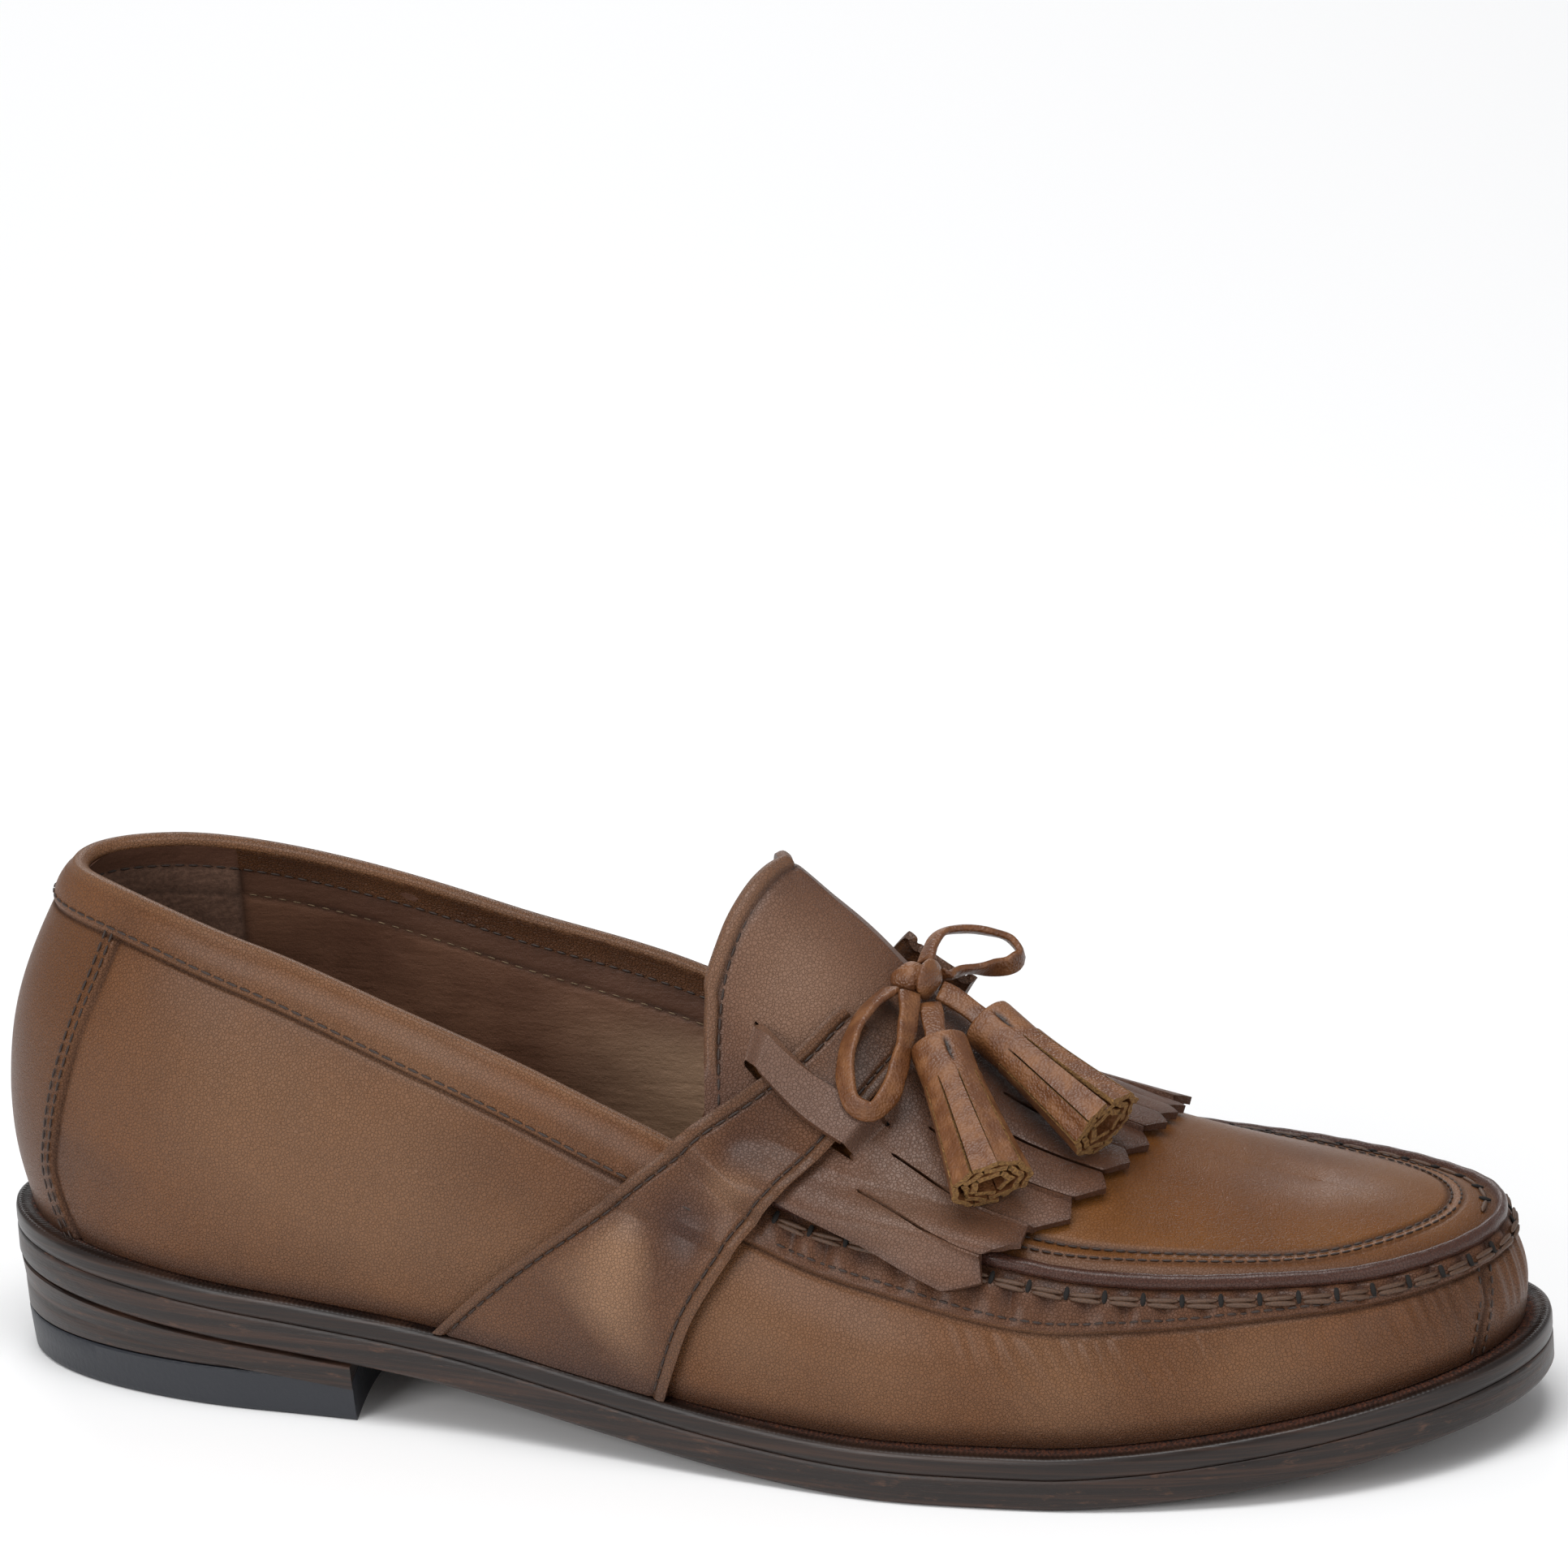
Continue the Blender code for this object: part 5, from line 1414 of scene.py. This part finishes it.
def ridge_row(side, distance):
    """The row of holes under the bead, or over the plug where the distance is below zero.
    The threads span the gathers, so the row keeps the mean height of them."""
    t = np.linspace(float(station_t(0.557, side)), 0.9995 * side, 1500)
    if distance > 0:
        v = 1 - distance / side_size("rise", t)
        relief = np.pad(wall_relief(t, v, last(t, v)), SPANNED // 2, "edge")
        evened = np.convolve(relief, np.full(SPANNED, 1 / SPANNED), "valid")
        return skin(t, v, 0.0002 + evened), last_normal(t, v)
    v = 1 - distance / top_width(t)
    return skin(t, v, plug_rise(t, v, apron_v(t)) * BORDER_RAISE), skin_normal(t, v)


rows = [ridge_row(side, BELOW_BEAD) for side in (-1, 1)]
for number, off in enumerate((0.00048, -0.00048)):
    sew("ridge_thread_%d" % number, [shifted(row, off) for row in rows], STITCH_PITCH, 0.0062, RIDGE_THREAD,
        WAXED_THREAD, lift=0.0003, slant=0.03 - 0.06 * number)
# Painted shade in the holes under the bead
sew("ridge_hole_shades", [shifted(row, -0.0005 * side) for row, side in zip(rows, (-1, 1))], STITCH_PITCH, 0.0010,
    0.0030, HOLE_SHADE, lift=0.00015, high=0.25, start=0.0)
inner_rows = [ridge_row(1, -INSIDE_BEAD)]
sew("plug_edge_thread", inner_rows, STITCH_PITCH, 0.0056, RIDGE_THREAD, WAXED_THREAD, lift=0.0003)
# Painted shade in the holes beside the plug
sew("plug_edge_hole_shades", inner_rows, STITCH_PITCH, 0.0012, 0.0028, HOLE_SHADE, lift=0.0004, high=0.25,
    start=0.0)


# Tongue and kiltie: one darker calf piece that covers the instep, its rear edge turned and stitched,
# its front cut into a fringe of pointed strips. Two slits in each side make a keeper for a strap.
LAYER_GAP, TONGUE_THICK, STRAP_THICK = 0.0004, 0.0015, 0.0016
BEAD_HEIGHT, RIDGE_ROOM = 0.0012, 0.0009
STRIPS, STRIP_POINT, SLIT, KEEPER_SLIT = 13, 0.0040, 0.0006, 0.0010
TONGUE = table("q rear slit tip", [
    (0.00, 0.4647, 0.670, 0.763), (0.15, 0.4655, 0.667, 0.762), (0.31, 0.4675, 0.655, 0.758),
    (0.46, 0.470, 0.638, 0.752), (0.62, 0.475, 0.621, 0.737), (0.77, 0.484, 0.607, 0.716),
    (0.92, 0.497, 0.597, 0.696), (1.00, 0.504, 0.594, 0.684),
])
TONGUE_EDGE = table("share v", [
    (0.460, 1.100), (0.503, 1.080), (0.530, 1.030), (0.559, 0.980), (0.583, 0.956), (0.611, 0.916),
    (0.648, 0.842), (0.680, 0.790), (0.720, 0.760),
])
FRINGE = [k / STRIPS for k in range(1, STRIPS - 1, 2)]
KEEPER = (0.615, 0.769)
KEEPER_ROWS = (0.225, 0.295, 0.81, 0.885)
KEEPER_TAPER = 0.036           # how much narrower the keeper is at its rear end
EDGE_LINE = 0.0026             # the stitches' distance from a turned edge


def cover(t, v):
    """How far the upper's steps and ridge push out what lies on them."""
    ridge = ridge_share(t)
    step = edge_step(ridge)
    stepped = step * ease((v - band_v(t) + 0.10) / 0.06) * ease((1.12 - v) / 0.08)
    return np.where(v > 1.12, 0.0, stepped + (BEAD_HEIGHT + RIDGE_ROOM) * ridge * hump(v, 1.0, 0.08))


def tongue_normal(share, side, v, size):
    """The instep's normal, brought together on the middle line where the two sides meet."""
    own, other = (skin_normal(station_t(share, turn), v) for turn in (side, -side))
    return unit(own + other * ease((0.16 - size) / 0.16)[:, None])


def keeper_lift(row):
    start, risen, sinks, end = KEEPER_ROWS
    rise = ease((row - start) / (risen - start)) * ease((end - row) / (end - sinks))
    return (STRAP_THICK + LAYER_GAP + TONGUE_THICK + LAYER_GAP) * rise


def tongue_dents(base):
    return 0.00012 * soft_noise(base, 35.0, 4.0) + 0.0003 * soft_noise(base, 12.0, 5.0)


def on_cut_line(q, marks):
    """Whether a column is one of the slits."""
    return min(abs(abs(q) - mark) for mark in marks) < 1e-4


def make_tongue():
    marks = [k / STRIPS for k in range(-STRIPS, STRIPS + 1) if k % 2]
    marks += [sign * k for k in KEEPER for sign in (-1, 1)]
    columns = np.linspace(-1, 1, STRIPS * 16 + 1)
    for mark in marks:
        columns[np.argmin(np.abs(columns - mark))] = mark
    columns = np.round(columns, 5)
    rows = np.unique(np.round(np.concatenate([np.linspace(0, 0.09, 17), np.linspace(0.09, 1, 74),
                                              np.linspace(1, 2, 44), KEEPER_ROWS]), 5))
    piece, u, w = new_grid("tongue_and_kiltie", len(columns) - 1, len(rows) - 1)
    paint(piece, "q", columns[np.round(u * (len(columns) - 1)).astype(int)])
    paint(piece, "row", rows[np.round(w * (len(rows) - 1)).astype(int)])
    mesh = bmesh.new()
    mesh.from_mesh(piece.data)
    at_q, at_row = mesh.verts.layers.float["q"], mesh.verts.layers.float["row"]
    cuts = []
    for edge in mesh.edges:
        a, b = edge.verts
        if abs(a[at_q] - b[at_q]) > 1e-6:
            continue
        q, low, high = a[at_q], min(a[at_row], b[at_row]), max(a[at_row], b[at_row])
        fringe = on_cut_line(q, FRINGE) and low >= 1.0 - 1e-6
        keeper = on_cut_line(q, KEEPER) and low >= KEEPER_ROWS[0] - 1e-6 \
            and high <= KEEPER_ROWS[3] + 1e-6
        if fringe or keeper:
            cuts.append(edge)
    bmesh.ops.split_edges(mesh, edges=cuts)
    # Which side of its slit each point is on: 1 at a strip's, 1.5 at a keeper's
    hands = mesh.verts.layers.float.new("hand")
    for vert in mesh.verts:
        q = vert[at_q]
        on_cut = on_cut_line(q, FRINGE) and vert[at_row] > 1.0
        on_keeper = on_cut_line(q, KEEPER) and KEEPER_ROWS[0] < vert[at_row] < KEEPER_ROWS[3]
        if on_cut or on_keeper:
            middle = sum(sum(v[at_q] for v in face.verts) / len(face.verts) for face in vert.link_faces) \
                / max(1, len(vert.link_faces))
            vert[hands] = (1.0 if middle > q else -1.0) * (1.0 if on_cut else 1.5)
    mesh.to_mesh(piece.data)
    mesh.free()
    read = {}
    for name in ("q", "row", "hand"):
        read[name] = np.empty(len(piece.data.vertices))
        piece.data.attributes[name].data.foreach_get("value", read[name])
    q, row, hand = read["q"], read["row"], read["hand"]
    size = np.abs(q)
    rear, slit, tip = TONGUE["rear"](size), TONGUE["slit"](size), TONGUE["tip"](size)
    local = np.abs(((q * STRIPS + 1) % 2) - 1)
    end = tip + 0.0012 / LENGTH - np.clip(local, 0, 1) * STRIP_POINT / LENGTH
    share = np.where(row <= 1, rear + (slit - rear) * row, slit + (end - slit) * (row - 1))
    side = np.where(q > 0, 1.0, -1.0)
    t = station_t(share, side)
    tapered = size + KEEPER_TAPER * hump(size, KEEPER[0], 0.06) * (1 - ease((row - 0.3) / 0.5))
    v = 2 - tapered * (2 - TONGUE_EDGE["v"](share))
    in_keeper = (size > KEEPER[0] + 1e-4) & (size < KEEPER[1] - 1e-4)
    edge_hand = np.where(np.abs(size - KEEPER[0]) < 1e-4, np.where(q > 0, hand > 0, hand < 0),
                         np.where(np.abs(size - KEEPER[1]) < 1e-4, np.where(q > 0, hand < 0, hand > 0), False))
    raised = np.where(in_keeper | (edge_hand & (np.abs(hand) > 1.2)), keeper_lift(row), 0.0)
    base, normal = last(t, v), tongue_normal(share, side, v, size)
    # Lie of the leather: the turned edge, soft dents, strips that lift a little at their ends
    width_across = np.linalg.norm(last(t, 1.0) - centre(t), axis=1)
    from_rear = (share - rear) * LENGTH
    rolled = 0.0007 * np.sqrt(np.clip(1 - ((from_rear - 0.0013) / 0.0014) ** 2, 0, 1)) \
        - 0.0009 * np.clip(1 - from_rear / 0.0009, 0, 1) ** 2
    pressed = 0.0003 * hump(from_rear, EDGE_LINE + 0.0004, 0.0005) * ease((0.92 - size) / 0.05)
    turned_share = ease((KEEPER[1] + 0.14 - size) / 0.1)
    strip_number = np.floor((q * STRIPS + 1) / 2)
    lift_end = (0.0007 + 0.0006 * np.sin(strip_number * 2.3 + 1.0)) * ease((row - 1.15) / 0.85) ** 1.4
    crown = 0.00035 * (1 - local ** 2) * ease((row - 1.0) / 0.3) * (row > 1)
    dents = tongue_dents(base)
    stress = 0.00012 * np.sin((q * 60 + row * 16)) * hump(size, 0.70, 0.08) * hump(row, 0.95, 0.10)
    swell = 0.0016 * hump(row, 0.30, 0.24) * ease((0.75 - size) / 0.5)
    lift = LAYER_GAP + cover(t, v) + raised + (rolled - pressed) * turned_share + lift_end + crown + dents \
        + stress + swell + TONGUE_THICK
    points = base + normal * lift[:, None]
    step = unit(last(t, np.clip(v - 0.02, 0, 2)) - last(t, v)) * side[:, None]
    gap = np.where(np.abs(hand) > 1.2, KEEPER_SLIT / 2, SLIT / 2) * np.sign(hand)
    points = points + step * gap[:, None]
    set_places(piece, points - MIDDLE)
    edge = np.minimum((1 - size) * width_across, np.where(row > 1.9, (2 - row) * 0.02, 1.0))
    paint(piece, "rim", np.clip(1 - edge / 0.0016, 0, 1))
    paint(piece, "seam", hump(from_rear, EDGE_LINE + 0.0004, 0.0005) * turned_share)
    paint(piece, "turned", (from_rear < EDGE_LINE) * turned_share)
    # Painted highlight: a broad sheen on the tongue's lateral side and on the lateral strips
    paint(piece, "painted_highlight", np.exp(-((row - 0.32) / 0.34) ** 2 - ((q + 0.42) / 0.30) ** 2)
          + 0.6 * np.exp(-((row - 1.3) / 0.5) ** 2 - ((q + 0.80) / 0.25) ** 2))
    # Painted highlight: the raised keeper band is coloured paler and greyer
    paint(piece, "keeper", in_keeper * ((row > KEEPER_ROWS[0]) & (row < KEEPER_ROWS[3])) * 1.0)
    face_towards(piece, (0, 0, 1))
    thicken(piece, TONGUE_THICK)
    bpy.ops.object.shade_smooth_by_angle(angle=math.radians(55))
    return piece


def tongue_finish():
    made = Finish("kiltie_calf", 0.38, Coat_Roughness=0.34, Specular_IOR_Level=0.38)
    colour, drift, pores = calf(made, (0.074, 0.028, 0.013), (0.128, 0.052, 0.024), (0.125, 0.043, 0.014))
    # Painted highlight of the sheen on the tongue
    colour = made.mix(made.mark("painted_highlight") * 0.65, colour, (0.230, 0.125, 0.075))
    # Painted highlight on the raised keeper band
    colour = made.mix(made.mark("keeper") * 0.7, colour, (0.140, 0.076, 0.052))
    colour = made.mix(made.mark("turned") * 0.55, colour, (0.170, 0.080, 0.038))
    colour = made.mix(made.mark("rim") * 0.4, colour, (0.045, 0.019, 0.012))
    colour = made.mix(made.mark("seam") * 0.5, colour, (0.028, 0.012, 0.007))
    return made.use(Base_Color=colour, Roughness=0.44 + drift * 0.10, Coat_Weight=0.16,
                    Normal=grain(made, pores, 0.00024))


def raw_finish():
    """The cut edge of dyed calf: paler, fibrous."""
    made = Finish("calf_cut_edge", 0.8)
    fibre = made.noise(1600.0, 4.0).between(0.3, 0.75)
    return made.use(Base_Color=made.mix(fibre, (0.090, 0.048, 0.023), (0.290, 0.165, 0.078)),
                    Normal=made.bump(fibre, 0.0003))


CALF_EDGE = raw_finish()
tongue = make_tongue()
finish_piece(tongue, [tongue_finish(), CALF_EDGE], ["tongue_kiltie"])


def tongue_rear_line(offset, lift):
    q = np.linspace(-0.93, 0.93, 600)
    size = np.abs(q)
    share = TONGUE["rear"](size) + offset / LENGTH
    side = np.where(q > 0, 1.0, -1.0)
    t = station_t(share, side)
    v = 2 - size * (2 - TONGUE_EDGE["v"](share))
    base = last(t, v)
    dents = tongue_dents(base)
    normal = tongue_normal(share, side, v, size)
    return base + normal * (LAYER_GAP + cover(t, v) + TONGUE_THICK + dents + lift)[:, None], normal


sew("tongue_edge_stitches", [tongue_rear_line(EDGE_LINE + 0.0004, 0.00005)], 0.0028, 0.0022, THREAD * 1.1,
    DARK_THREAD)


# Saddle straps: calf cut on a slant from the welt to a tab over the instep, edges turned and
# stitched. Each passes under a keeper to the bow, and the inner one's tab has curled up.
STRAP = table("v rear front", [
    (0.00, 0.325, 0.487), (0.20, 0.361, 0.500), (0.36, 0.390, 0.510), (0.65, 0.441, 0.531),
    (0.87, 0.473, 0.548), (1.04, 0.495, 0.564), (1.20, 0.517, 0.579), (1.36, 0.533, 0.588),
    (1.62, 0.544, 0.597),
])
STRAP_FOOT, TAB_END, CURL = 0.005, 1.62, 0.0045
STRAP_SLANT = 0.86             # a strap's true width beside that measured along the shoe
STRAP_LINE = EDGE_LINE - 0.0003
# Painted shade in the dents' hollows and painted highlight on their bulges are full at this depth or height
FULL_DENT = 0.0013             # the height or depth that is coloured fully
SOFT_DENTS = [
    # share, v, radius in metres, height: below zero is a hollow
    (0.455, 0.32, 0.011, 0.0013), (0.502, 0.76, 0.008, -0.0014), (0.524, 0.94, 0.006, 0.0009),
    (0.470, 0.60, 0.007, 0.0009), (0.430, 0.14, 0.011, -0.0009), (0.497, 0.44, 0.008, -0.0006),
    (0.525, 1.07, 0.005, -0.0008),
]


def strap_lift(t, v, curl):
    share = station_x(t) / LENGTH
    on_tongue = ease((v - TONGUE_EDGE["v"](share) + 0.13) / 0.08)
    lift = GAP + cover(t, v) + (TONGUE_THICK + LAYER_GAP) * on_tongue
    return lift + curl * ease((v - 1.44) / (TAB_END - 1.44)) ** 1.5


def strap_dents(base, side):
    dents = np.zeros(len(base))
    for share, at, radius, height in SOFT_DENTS:
        middle = last(station_t(share, side), np.array(at))
        dents += height * np.exp(-(np.linalg.norm(base - middle, axis=1) / radius) ** 2)
    return dents


def strap_wave(v, base, side):
    return 0.0003 * soft_noise(base, 38.0, 6.0 + side) * ease(v / 0.12)


def make_strap(name, side, curl):
    piece, across, up_way = new_grid(name, 110, 200)
    v = STRAP_FOOT + (TAB_END - STRAP_FOOT) * up_way
    rear, front = STRAP["rear"](v), STRAP["front"](v)
    share = rear + (front - rear) * across
    t = station_t(share, side)
    base, normal = last(t, v), skin_normal(t, v)
    low, high = last(station_t(rear, side), v), last(station_t(front, side), v)
    wide = np.linalg.norm(high - low, axis=1)
    from_edge = np.minimum(across, 1 - across) * wide * STRAP_SLANT
    turned = 0.0006 * np.sqrt(np.clip(1 - ((from_edge - 0.0008) / 0.0013) ** 2, 0, 1))
    seam = hump(from_edge, STRAP_LINE, 0.0004)
    dents = strap_dents(base, side)
    inside = ease((from_edge - 0.001) / 0.006)
    lift = strap_lift(t, v, curl) + STRAP_THICK + turned - seam * 0.0003 + dents * inside * ease(v / 0.12) \
        + strap_wave(v, base, side)
    set_places(piece, base + normal * lift[:, None] - MIDDLE)
    paint(piece, "seam", seam)
    paint(piece, "turned", (from_edge < EDGE_LINE) * 1.0)
    # Painted shade: the lowest 6 mm of the strap, in the corner with the welt
    paint(piece, "foot", 1 - ease(v * side_size("rise", t) / 0.006))
    # Painted shade in the hollows of the dents, painted highlight on their bulges
    paint(piece, "hollow", np.clip(-dents / FULL_DENT, 0, 1) * inside)
    paint(piece, "painted_highlight", np.clip(dents / FULL_DENT, 0, 1) * inside)
    face_towards(piece, (0, side, 0))
    thicken(piece, STRAP_THICK)
    bpy.ops.object.shade_smooth_by_angle(angle=math.radians(55))
    return piece


def strap_finish():
    made = Finish("strap_calf", 0.36, Coat_Roughness=0.30, Specular_IOR_Level=0.26)
    colour, drift, pores = calf(made, (0.078, 0.030, 0.013), (0.138, 0.057, 0.023), (0.140, 0.050, 0.014))
    # Painted shade in the dents' hollows and painted highlight on their bulges
    colour = made.mix(made.mark("hollow") * 0.85, colour, (0.046, 0.015, 0.008))
    colour = made.mix(made.mark("painted_highlight") * 0.8, colour, (0.340, 0.185, 0.100))
    # Painted shade at the strap's foot, beside the welt
    colour = made.mix(made.mark("foot") * 0.7, colour, (0.042, 0.016, 0.009))
    colour = made.mix(made.mark("turned") * 0.4, colour, (0.120, 0.056, 0.026))
    colour = made.mix(made.mark("seam") * 0.45, colour, (0.028, 0.012, 0.007))
    return made.use(Base_Color=colour, Roughness=0.42 + drift * 0.09, Coat_Weight=0.20,
                    Normal=grain(made, pores, 0.00030))


STRAP_CALF = strap_finish()
for name, side, curl in (("lateral", -1, 0.0), ("medial", 1, CURL)):
    strap = make_strap("strap_" + name, side, curl)
    finish_piece(strap, [STRAP_CALF, CALF_EDGE], ["saddle_strap_" + name])
    v = np.linspace(0.03, TAB_END - 0.03, 500)
    wide = np.linalg.norm(last(station_t(STRAP["front"](v), side), v)
                          - last(station_t(STRAP["rear"](v), side), v), axis=1) * STRAP_SLANT
    edge_share = STRAP_LINE / wide
    lines = []
    for share_across in (edge_share, 1 - edge_share):
        share = STRAP["rear"](v) + (STRAP["front"](v) - STRAP["rear"](v)) * share_across
        t = station_t(share, side)
        base = last(t, v)
        lift = strap_lift(t, v, curl) + STRAP_THICK + strap_wave(v, base, side) - 0.00015
        lines.append((skin(t, v, lift), skin_normal(t, v)))
    sew("strap_stitches_" + name, lines, 0.0029, 0.0024, THREAD * 1.1, DARK_THREAD)
